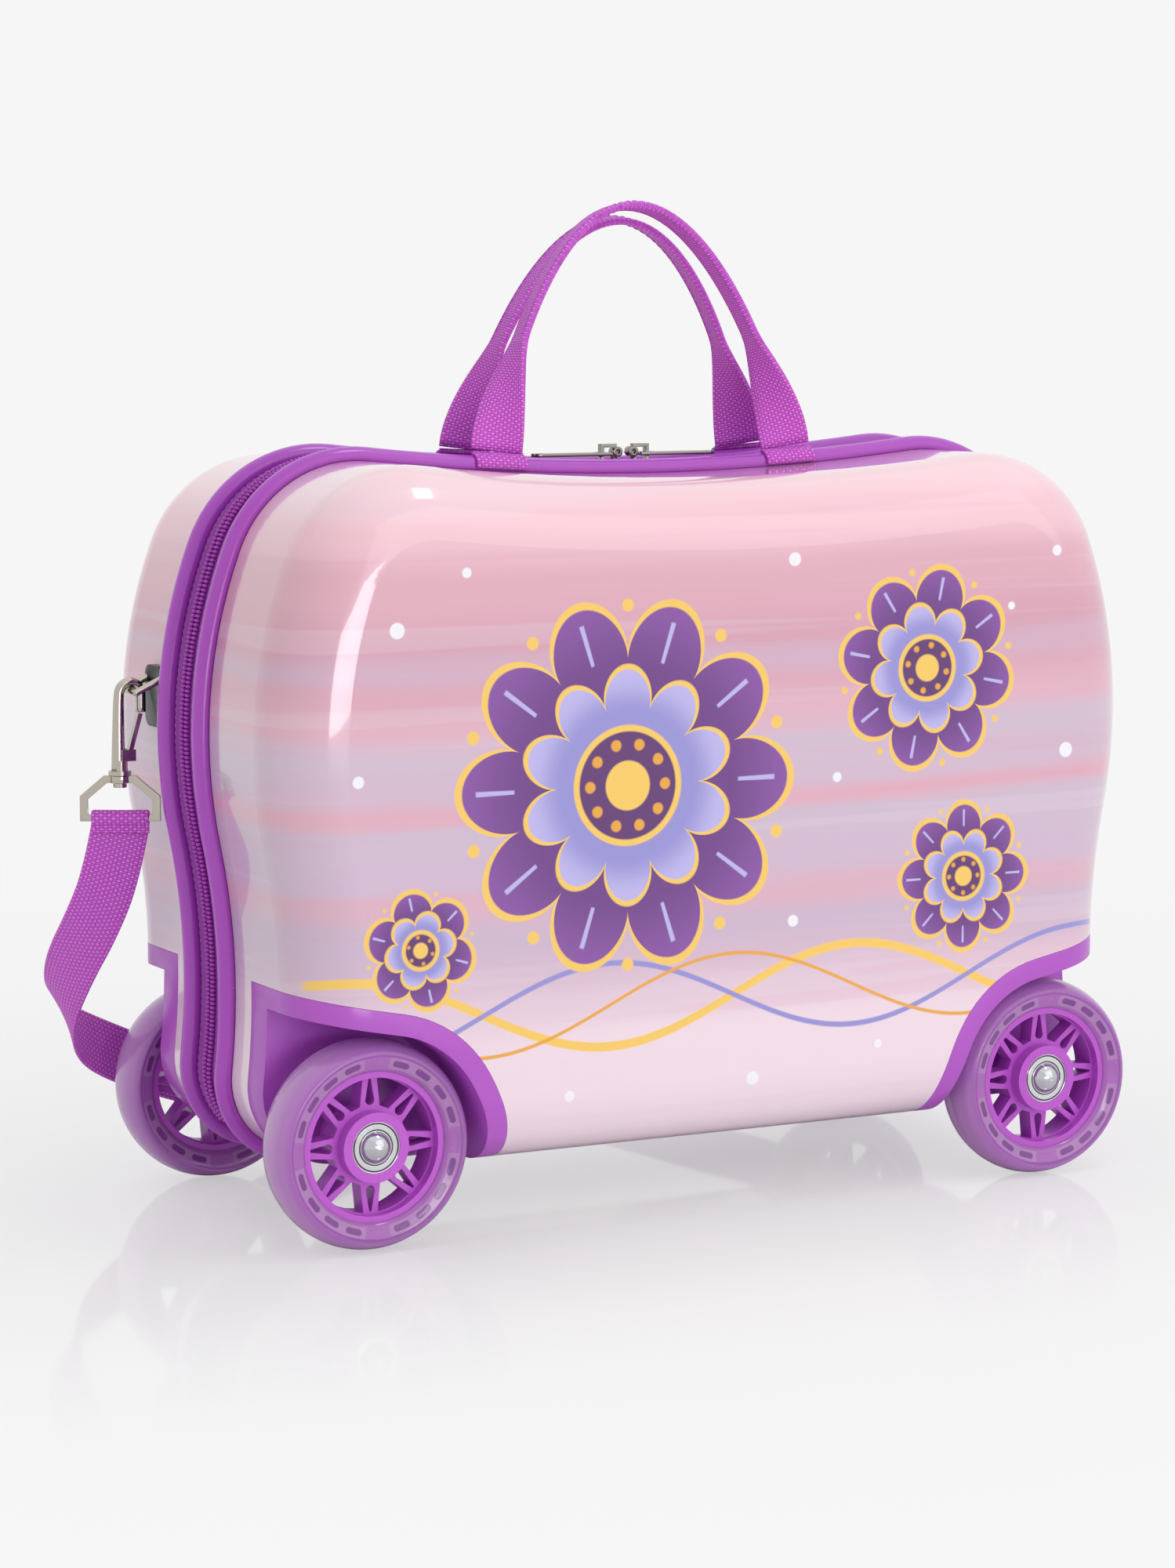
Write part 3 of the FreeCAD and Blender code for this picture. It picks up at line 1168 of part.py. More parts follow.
eye_body = doc.addObject("PartDesign::Body", "eye_frame")
eye_sketch = sketch_on(eye_body, "eye_outline", "XZ_Plane", "-Sizes.eye_thickness/2")
half_w = size("eye_width") / 2
drop = size("eye_height")
for loop in ([(-7, 0), (7, 0), (half_w, -9), (half_w, -drop), (-half_w, -drop), (-half_w, -9)],
             [(-5.5, -EYE_BAR), (5.5, -EYE_BAR), (half_w - 3.5, -10.4),
              (half_w - 3.5, 3 - drop), (3.5 - half_w, 3 - drop), (3.5 - half_w, -10.4)]):
    pts = [Vector(x, z, 0) for x, z in loop]
    lines = [eye_sketch.addGeometry(Part.LineSegment(pts[i], pts[(i + 1) % 6]))
             for i in range(6)]
    for i in range(6):
        eye_sketch.addConstraint(Sketcher.Constraint(
            "Coincident", lines[i], 2, lines[(i + 1) % 6], 1))
eye_pad = eye_body.newObject("PartDesign::Pad", "eye_pad")
eye_pad.Profile = eye_sketch
eye_pad.setExpression("Length", "Sizes.eye_thickness")
doc.recompute()
EYE_TURN = Rotation(Vector(0, 0, 1), -size("swivel_turn"))
eye_body.Placement = Placement(Vector(SHANK_X, HOOK_Y, EYE_TOP), EYE_TURN)
eye_left = keep(cut("left_eye", fuse("left_eye_solid", [
    eye_body, upright("eye_boss", 4.2, EYE_TOP - EYE_BAR, EYE_TOP)]),
    upright("eye_hole", 1.95, EYE_TOP - EYE_BAR - 5, EYE_TOP + 5)), "left_swivel_eye")
mirrored("right_eye", "right_swivel_eye", eye_left, ACROSS)

# Shoulder strap: flat webbing from eye to eye, down behind the back wheels and
# along the floor. Each point has the direction of the webbing's width there.

BAR_Z = EYE_TOP - size("eye_height") + 1.5
STRAP_ROUTE_X = -230.0
STRAP_ROUTE = [
    ((STRAP_ROUTE_X, HOOK_Y, BAR_Z - 3.0), (0.885, -0.466, 0.0)),
    ((-232.0, 41.0, 147.0), (0.880, -0.466, -0.05)),
    ((-236.0, 55.0, 124.0), (0.800, -0.570, -0.20)),
    ((-240.0, 74.0, 102.0), (0.600, -0.680, -0.42)),
    ((-238.0, 93.0, 82.0), (0.280, -0.640, -0.71)),
    ((-224.0, 107.0, 66.0), (0.020, -0.370, -0.93)),
    ((-201.0, 115.0, 53.0), (-0.220, -0.080, -0.97)),
    ((-171.0, 120.0, 41.0), (-0.280, 0.100, -0.95)),
    ((-137.0, 123.5, 29.0), (-0.270, 0.280, -0.92)),
    ((-102.0, 126.0, 18.5), (-0.180, 0.560, -0.81)),
    ((-66.0, 127.6, 9.5), (-0.080, 0.850, -0.52)),
    ((-30.0, 128.6, 3.2), (-0.010, 0.990, -0.12)),
    ((0.0, 129.0, 1.3), (0.0, 1.0, 0.0)),
]


def strap_stations():
    """The left half of the route, then its mirror image to the right eye."""
    reach = SHANK_X / STRAP_ROUTE_X
    left = [(Vector(p[0] * reach, p[1], p[2]), Vector(*w)) for p, w in STRAP_ROUTE]
    right = [(Vector(-p.x, p.y, p.z), Vector(-w.x, w.y, w.z)) for p, w in left[-2::-1]]
    return left + right


def strap_shape():
    stations = strap_stations()
    sections = []
    for i, (p, w) in enumerate(stations):
        before = stations[max(i - 1, 0)][0]
        after = stations[min(i + 1, len(stations) - 1)][0]
        along = after - before
        along.normalize()
        across = w - along * w.dot(along)
        sections.append(band_section(p, across, along.cross(across),
                                     size("strap_width"), size("strap_thickness")))
    shape = Part.makeLoft(sections, True, True)
    width = size("strap_width")
    room = 3.6
    wall = size("strap_thickness")
    for side in (1, -1):
        outer = Part.makeBox(width, room + 2 * wall, room + 2 * wall,
                             Vector(-width / 2, -room / 2 - wall, -room / 2 - wall))
        inner = Part.makeBox(width + 2, room, room, Vector(-width / 2 - 1, -room / 2, -room / 2))
        loop = outer.cut(inner)
        loop.Placement = Placement(Vector(side * SHANK_X, HOOK_Y, BAR_Z),
                                   Rotation(Vector(0, 0, 1), -side * size("swivel_turn")))
        keyhole = inner.copy()
        keyhole.Placement = loop.Placement
        shape = shape.cut(keyhole).fuse(loop)
    return shape.removeSplitter()


strap = doc.addObject("Part::Feature", "strap")
strap.Shape = strap_shape()
strap.Placement = Placement()
keep(strap, "shoulder_strap")

# Elastic packing straps with buckles, flat against the back lining

LINING_FACE = f"(Sizes.body_depth/2+{LINING_IN})"
PACKING_Y = f"({LINING_FACE}-Sizes.packing_gap-Sizes.packing_strap_thickness)"
for tag, sign in (("low", -1), ("high", 1)):
    strap_z = (f"(Sizes.packing_height+{sign}*Sizes.packing_strap_spacing/2"
               "-Sizes.packing_strap_width/2)")
    block(f"packing_{tag}", "-Sizes.packing_strap_length/2", PACKING_Y, strap_z,
          "Sizes.packing_strap_length", "Sizes.packing_strap_thickness",
          "Sizes.packing_strap_width")
    buckle = block(f"buckle_{tag}_box", "-Sizes.buckle_length/2",
                   f"{PACKING_Y}-Sizes.packing_gap-Sizes.buckle_thickness",
                   f"{strap_z}-Sizes.buckle_margin", "Sizes.buckle_length",
                   "Sizes.buckle_thickness", "Sizes.packing_strap_width+2*Sizes.buckle_margin")
    doc.recompute()
    rounded = doc.addObject("Part::Fillet", f"buckle_{tag}")
    rounded.Base = buckle
    soft = size("buckle_thickness") * 0.36
    rounded.Edges = [(i, soft, soft) for i, e in enumerate(buckle.Shape.Edges, start=1)
                     if e.BoundBox.YMax < buckle.Shape.BoundBox.YMax - soft
                     or e.BoundBox.YLength > soft]
doc.recompute()
keep(group("packing", [doc.packing_low, doc.packing_high]), "packing_straps")
keep(group("buckles", [doc.buckle_low, doc.buckle_high]), "packing_buckles")

# Checks and files

doc.recompute()
for obj in doc.Objects:
    if "Invalid" in obj.State or "Error" in obj.State:
        raise RuntimeError(f"{obj.Name} failed: {obj.State}")
shapes = {}
for obj in PARTS:
    shape = Part.getShape(obj)
    if shape.isNull() or not shape.isValid() or not shape.Solids:
        raise RuntimeError(f"{obj.Label} has no valid solid")
    shapes[obj.Label] = shape
os.makedirs("parts", exist_ok=True)
for label, shape in shapes.items():
    shape.exportStep(f"parts/{label}.step")
print(len(shapes), "parts")
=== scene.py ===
"""Ride-on suitcase: finishes, zip, webbing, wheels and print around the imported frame."""
import math

import bmesh
import bpy
from mathutils import Matrix, Vector


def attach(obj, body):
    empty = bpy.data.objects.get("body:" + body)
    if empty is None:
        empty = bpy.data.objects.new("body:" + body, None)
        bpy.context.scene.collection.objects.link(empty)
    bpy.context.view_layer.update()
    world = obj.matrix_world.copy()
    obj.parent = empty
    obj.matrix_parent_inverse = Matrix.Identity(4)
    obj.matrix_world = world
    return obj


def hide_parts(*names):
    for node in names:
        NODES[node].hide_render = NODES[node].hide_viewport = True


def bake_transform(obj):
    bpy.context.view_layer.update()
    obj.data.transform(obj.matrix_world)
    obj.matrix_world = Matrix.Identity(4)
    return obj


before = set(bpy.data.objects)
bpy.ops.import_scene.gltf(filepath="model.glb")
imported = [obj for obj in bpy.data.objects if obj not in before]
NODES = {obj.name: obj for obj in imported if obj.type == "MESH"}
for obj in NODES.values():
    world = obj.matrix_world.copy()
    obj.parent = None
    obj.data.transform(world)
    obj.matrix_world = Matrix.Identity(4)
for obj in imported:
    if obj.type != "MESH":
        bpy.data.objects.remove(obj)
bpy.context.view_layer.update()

scene = bpy.context.scene
scene.view_settings.view_transform = "Standard"

HALVES = {"front": -1, "back": 1}
ENDS = {"left": -1, "right": 1}

# Case outline, in metres, as in the part's source

DIP_H, CROWN_H, CORNER_R, CROWN_SPACING = 0.321, 0.329, 0.058, 0.286
SHELL_LENGTH, BULGE_H, WAIST_LENGTH, WAIST_H = 0.424, 0.212, 0.402, 0.104
BASE_H, BASE_R = 0.0316, 0.033
PIPING_Y, PIPING_R, PIPING_RISE = 0.0194, 0.0044, 0.0016
WHEEL_X, WHEEL_Y, WHEEL_Z = 0.168, 0.084, 0.045
WEB_W, WEB_T = 0.025, 0.0016
DOWN = Vector((0, 0, -1))


def case_arcs():
    """Centre x, centre z and radius of each arc of the right-hand half."""
    xc, zc = CROWN_SPACING / 2, CROWN_H - CORNER_R
    h = DIP_H - zc
    rd = (h * h + xc * xc - CORNER_R ** 2) / (2 * (CORNER_R - h))
    xm = SHELL_LENGTH / 2
    dx, dz = xm - xc, zc - BULGE_H
    rb = (dx * dx + dz * dz - CORNER_R ** 2) / (2 * (dx - CORNER_R))
    xn = WAIST_LENGTH / 2
    a = rb - (xm - xn)
    rw = (a * a + (BULGE_H - WAIST_H) ** 2 - rb * rb) / (2 * (xm - xn))
    zk = BASE_H + BASE_R
    xw = xn + rw
    xk = xw - math.sqrt((rw + BASE_R) ** 2 - (WAIST_H - zk) ** 2)
    return {"dip": (0.0, DIP_H + rd, rd), "corner": (xc, zc, CORNER_R),
            "bulge": (xm - rb, BULGE_H, rb), "waist": (xw, WAIST_H, rw),
            "base": (xk, zk, BASE_R)}


ARCS = case_arcs()


def heading(a, b):
    """Angle from one arc's centre to another's."""
    return math.atan2(b[1] - a[1], b[0] - a[0])


def half_outline(step):
    """Points and outward normals of the right half, from the dip's low point to the floor side."""
    dip, corner, bulge = ARCS["dip"], ARCS["corner"], ARCS["bulge"]
    waist, base = ARCS["waist"], ARCS["base"]
    dip_end = heading(dip, corner)
    corner_end = heading(bulge, corner)
    waist_start = heading(waist, bulge)
    waist_end = heading(waist, base)
    runs = [(dip, -math.pi / 2, dip_end, -1), (corner, dip_end + math.pi, corner_end, 1),
            (bulge, corner_end, waist_start + math.pi, 1),
            (waist, waist_start, waist_end, -1),
            (base, waist_end + math.pi, -math.pi / 2, 1)]
    out = []
    for (cx, cz, r), a0, a1, side in runs:
        while a1 - a0 > math.pi:
            a1 -= 2 * math.pi
        while a1 - a0 < -math.pi:
            a1 += 2 * math.pi
        count = max(2, int(abs(a1 - a0) * r / step))
        for i in range(count):
            a = a0 + (a1 - a0) * i / count
            n = Vector((math.cos(a), 0, math.sin(a))) * side
            out.append((Vector((cx + r * math.cos(a), 0, cz + r * math.sin(a))), n))
    out.append((Vector((base[0], 0, BASE_H)), DOWN))
    return out


def full_outline(step):
    """The outline from the left foot over the top to the right foot."""
    right = half_outline(step)
    left = [(Vector((-p.x, 0, p.z)), Vector((-n.x, 0, n.z))) for p, n in right[:0:-1]]
    return left + right


OUTLINE = full_outline(0.004)


TUBE_R = ARCS["dip"][2] - PIPING_RISE


def tube_height(x):
    """Height of the piping's centre line on the saddle."""
    return ARCS["dip"][1] - math.sqrt(TUBE_R ** 2 - x * x)


# Finishes

def rgb(r, g, b):
    """Linear colour from an ordinary 0 to 255 one."""
    return tuple(((c / 255 + 0.055) / 1.055) ** 2.4 if c > 10 else c / 255 / 12.92
                 for c in (r, g, b)) + (1.0,)


class Flow:
    """A number running through a finish's nodes, with arithmetic on it."""

    def __init__(self, tree, socket):
        self.tree = tree
        self.socket = socket

    def op(self, kind, *others, clamp=False):
        node = self.tree.nodes.new("ShaderNodeMath")
        node.operation = kind
        node.use_clamp = clamp
        for i, v in enumerate((self,) + others):
            if isinstance(v, Flow):
                self.tree.links.new(v.socket, node.inputs[i])
            else:
                node.inputs[i].default_value = v
        return Flow(self.tree, node.outputs[0])

    def __add__(self, other):
        return self.op("ADD", other)

    def __sub__(self, other):
        return self.op("SUBTRACT", other)

    def __mul__(self, other):
        return self.op("MULTIPLY", other)

    def __truediv__(self, other):
        return self.op("DIVIDE", other)

    def below(self, edge, soft):
        """1 where the number is under the edge, 0 over it, with a soft step."""
        node = self.tree.nodes.new("ShaderNodeMapRange")
        node.interpolation_type = "SMOOTHSTEP"
        self.tree.links.new(self.socket, node.inputs["Value"])
        for name, v in (("From Min", edge - soft), ("From Max", edge + soft),
                        ("To Min", 1.0), ("To Max", 0.0)):
            node.inputs[name].default_value = v
        return Flow(self.tree, node.outputs["Result"])


class Finish:
    """A material with one Principled shader and helpers to wire it."""

    def __init__(self, name, colour, roughness, metallic=0.0):
        self.material = bpy.data.materials.new(name)
        self.material.use_nodes = True
        self.material.diffuse_color = colour
        self.tree = self.material.node_tree
        self.shader = self.tree.nodes["Principled BSDF"]
        self.set("Base Color", colour)
        self.set("Roughness", roughness)
        self.set("Metallic", metallic)

    def set(self, socket, value):
        self.shader.inputs[socket].default_value = value
        return self

    def node(self, kind, **sockets):
        node = self.tree.nodes.new(kind)
        for key, v in sockets.items():
            node.inputs[key.replace("_", " ")].default_value = v
        return node

    def place(self, scale=None, uv=False):
        """Object coordinates, or the piece's UV map, with an optional stretch."""
        coords = self.node("ShaderNodeTexCoord")
        out = coords.outputs["UV" if uv else "Object"]
        if scale:
            mapping = self.node("ShaderNodeMapping", Scale=scale)
            self.tree.links.new(out, mapping.inputs["Vector"])
            out = mapping.outputs["Vector"]
        return out

    def axes(self, uv=False):
        split = self.node("ShaderNodeSeparateXYZ")
        self.tree.links.new(self.place(uv=uv), split.inputs[0])
        return [Flow(self.tree, split.outputs[i]) for i in range(3)]

    def noise(self, scale, detail, stretch=None):
        node = self.node("ShaderNodeTexNoise", Scale=scale, Detail=detail, Roughness=0.5)
        self.tree.links.new(self.place(stretch), node.inputs["Vector"])
        return Flow(self.tree, node.outputs["Fac"])

    def mix(self, factor, low, high):
        """Colour between two; sockets 6, 7 and 2 are a Mix node's colour ones."""
        node = self.node("ShaderNodeMix")
        node.data_type = "RGBA"
        self.tree.links.new(factor.socket, node.inputs[0])
        for i, c in ((6, low), (7, high)):
            if isinstance(c, tuple):
                node.inputs[i].default_value = c
            else:
                self.tree.links.new(c, node.inputs[i])
        return node.outputs[2]

    def ramp(self, factor, stops):
        node = self.node("ShaderNodeValToRGB")
        node.color_ramp.interpolation = "EASE"
        while len(node.color_ramp.elements) < len(stops):
            node.color_ramp.elements.new(0.5)
        for e, (at, colour) in zip(node.color_ramp.elements, stops):
            e.position = at
            e.color = colour
        self.tree.links.new(factor.socket, node.inputs[0])
        return node.outputs[0]

    def colour(self, socket):
        self.tree.links.new(socket, self.shader.inputs["Base Color"])

    def rough(self, flow):
        self.tree.links.new(flow.socket, self.shader.inputs["Roughness"])

    def bump(self, flow, strength, distance):
        node = self.node("ShaderNodeBump", Strength=strength, Distance=distance)
        self.tree.links.new(flow.socket, node.inputs["Height"])
        self.tree.links.new(node.outputs[0], self.shader.inputs["Normal"])


def moulded(name, base, dark, roughness, grain=0.06):
    """Moulded plastic: fine grain, slight drift of colour and gloss."""
    f = Finish(name, base, roughness)
    drift = f.noise(9.0, 2.0)
    f.colour(f.mix(drift, base, dark))
    f.rough(f.noise(140.0, 3.0) * 0.16 + (roughness - 0.08))
    f.bump(f.noise(2600.0, 2.0), grain, 0.0002)
    f.set("Coat Weight", 0.25).set("Coat Roughness", 0.18)
    return f.material


def woven(name, base, dark, light, pitch, ribs, sheen):
    """Fine cloth: herringbone ribs that follow the piece's own UV map, in metres."""
    f = Finish(name, base, 0.72)
    u, v, _ = f.axes(uv=True)
    fold = v.op("PINGPONG", ribs)
    slant = ((u + fold * 0.9) * (2 * math.pi / pitch)).op("SINE") * 0.5 + 0.5
    weft = (v * (2 * math.pi / (pitch * 0.62))).op("SINE") * 0.5 + 0.5
    height = slant * 0.72 + weft * 0.28
    fuzz = f.noise(5200.0, 2.0)
    # Painted shade: the valleys between the ribs take the dark colour, as if in shadow; the fuzz noise
    # adds random tone.
    shade = (height * 0.75 + fuzz * 0.35).op("MULTIPLY", 1.0, clamp=True)
    worn = f.mix(f.noise(60.0, 2.0), base, light)
    f.colour(f.mix(shade, dark, worn))
    f.bump(height + fuzz * 0.25, 0.85, 0.00045)
    f.set("Sheen Weight", sheen).set("Sheen Roughness", 0.4)
    f.set("Specular IOR Level", 0.3)
    return f.material


def basket_woven(name, base, dark, light, long, wide):
    """Heavy webbing: bricks of yarn in staggered rows, along the piece's own UV map, with painted
    sheen on one set of bricks and painted shade in the gaps.
    """
    f = Finish(name, base, 0.55)
    u, v, _ = f.axes(uv=True)
    drift = (f.noise(260.0, 1.0) - 0.5) * 0.0005
    rows = ((u + drift) * (2 * math.pi / long)).op("SINE")
    columns = ((v + drift) * (2 * math.pi / wide)).op("SINE")
    over = rows * columns
    yarn = over.op("ABSOLUTE").op("POWER", 0.45)
    strands = (v * (2 * math.pi / (wide * 0.17))).op("SINE") * 0.5 + 0.5
    fuzz = f.noise(4200.0, 2.0)
    # Painted light: the bricks where over is positive take the light colour as painted sheen, and the
    # gaps between bricks take the dark colour as painted shade.
    tone = f.mix(over * 0.5 + 0.5, base, light)
    shade = (yarn * 0.86 + strands * 0.10 + fuzz * 0.22).op("MULTIPLY", 1.0, clamp=True)
    f.colour(f.mix(shade, dark, tone))
    f.bump(yarn * 0.8 + strands * 0.1 + fuzz * 0.1, 0.9, 0.0005)
    f.rough(yarn * -0.18 + 0.62)
    f.set("Sheen Weight", 0.06).set("Sheen Roughness", 0.35)
    f.set("Specular IOR Level", 0.45)
    return f.material


def bearing_shield():
    """Polished shields with a turned groove round each axle."""
    polish = rgb(222, 223, 226)
    f = Finish("polished_shield", polish, 0.14, 1.0)
    x, _, z = f.axes()
    dx, dz = x.op("ABSOLUTE") - WHEEL_X, z - WHEEL_Z
    far = (dx * dx + dz * dz).op("SQRT")
    groove = (far - 0.0102).op("ABSOLUTE").below(0.00035, 0.0002)
    lip = (far - 0.0075).op("ABSOLUTE").below(0.0003, 0.0002)
    mark = groove.op("MAXIMUM", lip)
    f.colour(f.mix(mark, polish, rgb(70, 68, 74)))
    f.rough(f.noise(300.0, 3.0) * 0.10 + 0.08)
    f.bump((far * 24000.0).op("SINE") * 0.03 - mark, 0.5, 0.0003)
    return f.material


def metal(name, base, roughness, scratch):
    """Plated or turned metal, with a slight drift of gloss and fine scratches."""
    f = Finish(name, base, roughness, 1.0)
    f.rough(f.noise(220.0, 4.0) * 0.14 + (roughness - 0.07))
    f.bump(f.noise(700.0, 4.0), scratch, 0.0001)
    return f.material


def rosette(f, x, z, centre, radius, petals, turn):
    """Masks of one petalled rosette, from its outer petals to its eye."""
    dx = (x - centre[0]) / radius
    dz = (z - centre[1]) / radius
    far = (dx * dx + dz * dz).op("SQRT")
    angle = dz.op("ARCTAN2", dx) + turn
    lobe = (angle * (petals / 2)).op("COSINE").op("ABSOLUTE")
    inner_lobe = (angle * (petals / 2) + math.pi / 2).op("COSINE").op("ABSOLUTE")
    edge = far - (lobe.op("POWER", 0.6) * 0.30 + 0.68)
    inner = far - (inner_lobe.op("POWER", 0.6) * 0.20 + 0.42)
    soft = 0.0005 / radius
    line = (0.0009 + 0.010 * radius) / radius
    vein = (lobe - 1.0).op("ABSOLUTE").below(0.003, 0.002)
    step = 2 * math.pi / petals
    between = ((angle / step).op("FRACT") - 0.5) * (step * 0.94)
    within = ((angle / step + 0.5).op("FRACT") - 0.5) * (step * 0.22)
    drop = (between * between + (far - 0.94) * (far - 0.94)).op("SQRT")
    bead = (within * within + (far - 0.22) * (far - 0.22)).op("SQRT")
    petal, inner_petal = edge.below(0.0, soft), inner.below(0.0, soft)
    inward = far * -1.0
    return {
        "petals": petal,
        "blush": petal * inward.below(-0.78, 0.22),
        "rim": edge.op("ABSOLUTE").below(line, soft),
        "vein": vein * far.below(0.88, soft) * inward.below(-0.66, soft),
        "drops": drop.below(0.034, soft),
        "inner": inner_petal,
        "inner_blush": inner_petal * inward.below(-0.48, 0.10),
        "inner_rim": inner.op("ABSOLUTE").below(line * 0.7, soft),
        "heart": far.below(0.30, soft),
        "heart_rim": (far - 0.30).op("ABSOLUTE").below(line * 0.8, soft),
        "beads": bead.below(0.030, soft),
        "eye": far.below(0.13, soft),
    }


def printed_shell():
    """Glossy film print: watercolour bands all over, rosettes, garland lines and dots on the
    faces."""
    f = Finish("printed_shell", rgb(246, 205, 219), 0.16)
    x, y, z = f.axes()
    wash = f.noise(1.0, 2.0, stretch=(2.6, 2.6, 18.0))
    fine = f.noise(1.0, 4.0, stretch=(5.0, 5.0, 150.0))
    level = (z + (wash - 0.5) * 0.040 + (fine - 0.5) * 0.010) / 0.335
    bands = f.ramp(level, [
        (0.08, rgb(240, 220, 230)), (0.22, rgb(242, 220, 231)), (0.31, rgb(230, 203, 219)),
        (0.355, rgb(214, 184, 206)), (0.40, rgb(206, 182, 206)), (0.43, rgb(222, 176, 194)),
        (0.46, rgb(210, 184, 208)), (0.53, rgb(208, 186, 208)), (0.555, rgb(226, 172, 190)),
        (0.58, rgb(212, 184, 206)), (0.63, rgb(210, 188, 208)), (0.66, rgb(226, 176, 194)),
        (0.70, rgb(220, 166, 185)), (0.735, rgb(210, 174, 195)), (0.765, rgb(216, 160, 179)),
        (0.84, rgb(226, 172, 189)), (0.90, rgb(242, 194, 207)), (0.97, rgb(250, 210, 220))])
    streak = f.noise(1.0, 3.0, stretch=(1.6, 1.6, 70.0))
    bands = f.mix((streak * -1.0).below(-0.60, 0.035) * 0.22, bands, rgb(232, 214, 228))
    bands = f.mix(streak.below(0.39, 0.03) * 0.18, bands, rgb(226, 158, 180))
    face = (y.op("ABSOLUTE") * -1.0).below(-0.086, 0.003)
    gold, amber = rgb(250, 204, 92), rgb(238, 166, 44)
    deep, violet, plum = rgb(104, 40, 132), rgb(134, 70, 164), rgb(88, 22, 108)
    lilac, sky = rgb(190, 182, 236), rgb(150, 144, 214)
    colour = bands
    for shift, thick, tint in ((0.0, 0.0020, gold), (math.pi, 0.0012, sky),
                               (math.pi / 2, 0.0008, amber)):
        wave = z - ((x * 26.0 + shift).op("SINE") * 0.018 + 0.098)
        colour = f.mix(wave.op("ABSOLUTE").below(thick, 0.0005) * face, colour, tint)
    for centre, radius, petals, turn in (
            ((-0.052, 0.192), 0.082, 10, 0.0), ((0.098, 0.236), 0.046, 8, 0.2),
            ((0.118, 0.142), 0.034, 8, 0.0), ((-0.150, 0.128), 0.026, 6, 0.3)):
        m = rosette(f, x, z, centre, radius, petals, turn)
        for mask, tint in (("petals", deep), ("blush", violet), ("vein", lilac), ("rim", gold),
                           ("drops", gold), ("inner", sky), ("inner_blush", lilac),
                           ("inner_rim", gold), ("heart", plum), ("heart_rim", gold),
                           ("beads", amber), ("eye", gold)):
            colour = f.mix(m[mask] * face, colour, tint)
    for cx, cz, r in ((-0.160, 0.262, 0.0034), (-0.128, 0.285, 0.0022), (0.030, 0.286, 0.0030),
                      (0.166, 0.286, 0.0024), (0.172, 0.196, 0.0034), (0.030, 0.128, 0.0026),
                      (-0.178, 0.200, 0.0026), (0.052, 0.190, 0.0022), (0.010, 0.060, 0.0030),
                      (0.074, 0.070, 0.0020), (-0.080, 0.060, 0.0024), (0.142, 0.262, 0.0018)):
        dx, dz = x - cx, z - cz
        dot = (dx * dx + dz * dz).op("SQRT").below(r, 0.0004) * face
        colour = f.mix(dot, colour, rgb(246, 244, 250))
    f.colour(colour)
    f.rough(f.noise(30.0, 2.0) * 0.06 + 0.13)
    f.bump(f.noise(42.0, 1.0), 0.02, 0.0004)
    f.set("Coat Weight", 1.0).set("Coat Roughness", 0.03)
    return f.material


def tyre_rubber():
    """Milky tinted polyurethane with four slotted arcs; the UV map holds quarter turns and the
    radius."""
    ring_r, slot_half, slot_end, slots = 0.0361, 0.0025, 0.0013, 5
    f = Finish("tinted_tyre", rgb(176, 112, 190), 0.26)
    turn, radius, _ = f.axes(uv=True)
    tint = f.ramp((radius - 0.032) / 0.0135, [
        (0.0, rgb(214, 138, 226)), (0.10, rgb(204, 122, 218)), (0.46, rgb(208, 126, 222)),
        (0.52, rgb(176, 94, 196)), (0.60, rgb(200, 124, 216)), (0.82, rgb(222, 160, 234)),
        (1.0, rgb(234, 186, 242))])
    quarter = turn.op("FRACT") - 0.5
    arc = quarter.op("ABSOLUTE").below(0.40, 0.006)
    across = radius - ring_r
    ring = across.op("ABSOLUTE").below(0.0025, 0.0003)
    pitch = math.pi / 2 * ring_r / slots
    along = ((quarter * slots).op("FRACT") - 0.5).op("ABSOLUTE") * pitch
    along = (along - slot_half).op("MAXIMUM", 0.0)
    slot = (along * along + across * across).op("SQRT").below(slot_end, 0.0003)
    colour = f.mix(arc * ring, tint, rgb(214, 158, 222))
    colour = f.mix(slot * arc, colour, rgb(142, 56, 164))
    cloud = f.noise(26.0, 2.0)
    f.colour(f.mix(cloud * 0.25, colour, rgb(206, 158, 216)))
    f.rough(f.noise(90.0, 3.0) * 0.14 + 0.17)
    f.bump(arc * ring * 0.4 - slot * 0.6 + f.noise(160.0, 2.0) * 0.1, 0.5, 0.0005)
    f.set("Transmission Weight", 0.42).set("IOR", 1.38)
    f.set("Subsurface Weight", 0.25).set("Subsurface Radius", (0.006, 0.003, 0.006))
    f.set("Subsurface Scale", 1.0)
    f.set("Coat Weight", 0.6).set("Coat Roughness", 0.08)
    return f.material


SHELL = printed_shell()
HOUSING = moulded("moulded_housing", rgb(190, 94, 208), rgb(170, 72, 190), 0.34)
HUB = moulded("moulded_hub", rgb(200, 94, 214), rgb(182, 76, 198), 0.36)
PIPING = moulded("extruded_piping", rgb(184, 78, 204), rgb(170, 62, 190), 0.24, 0.02)
COIL = moulded("zip_coil", rgb(182, 58, 194), rgb(164, 40, 178), 0.34)
BUCKLE = moulded("buckle_plastic", rgb(112, 42, 126), rgb(92, 30, 106), 0.42)
TYRE = tyre_rubber()
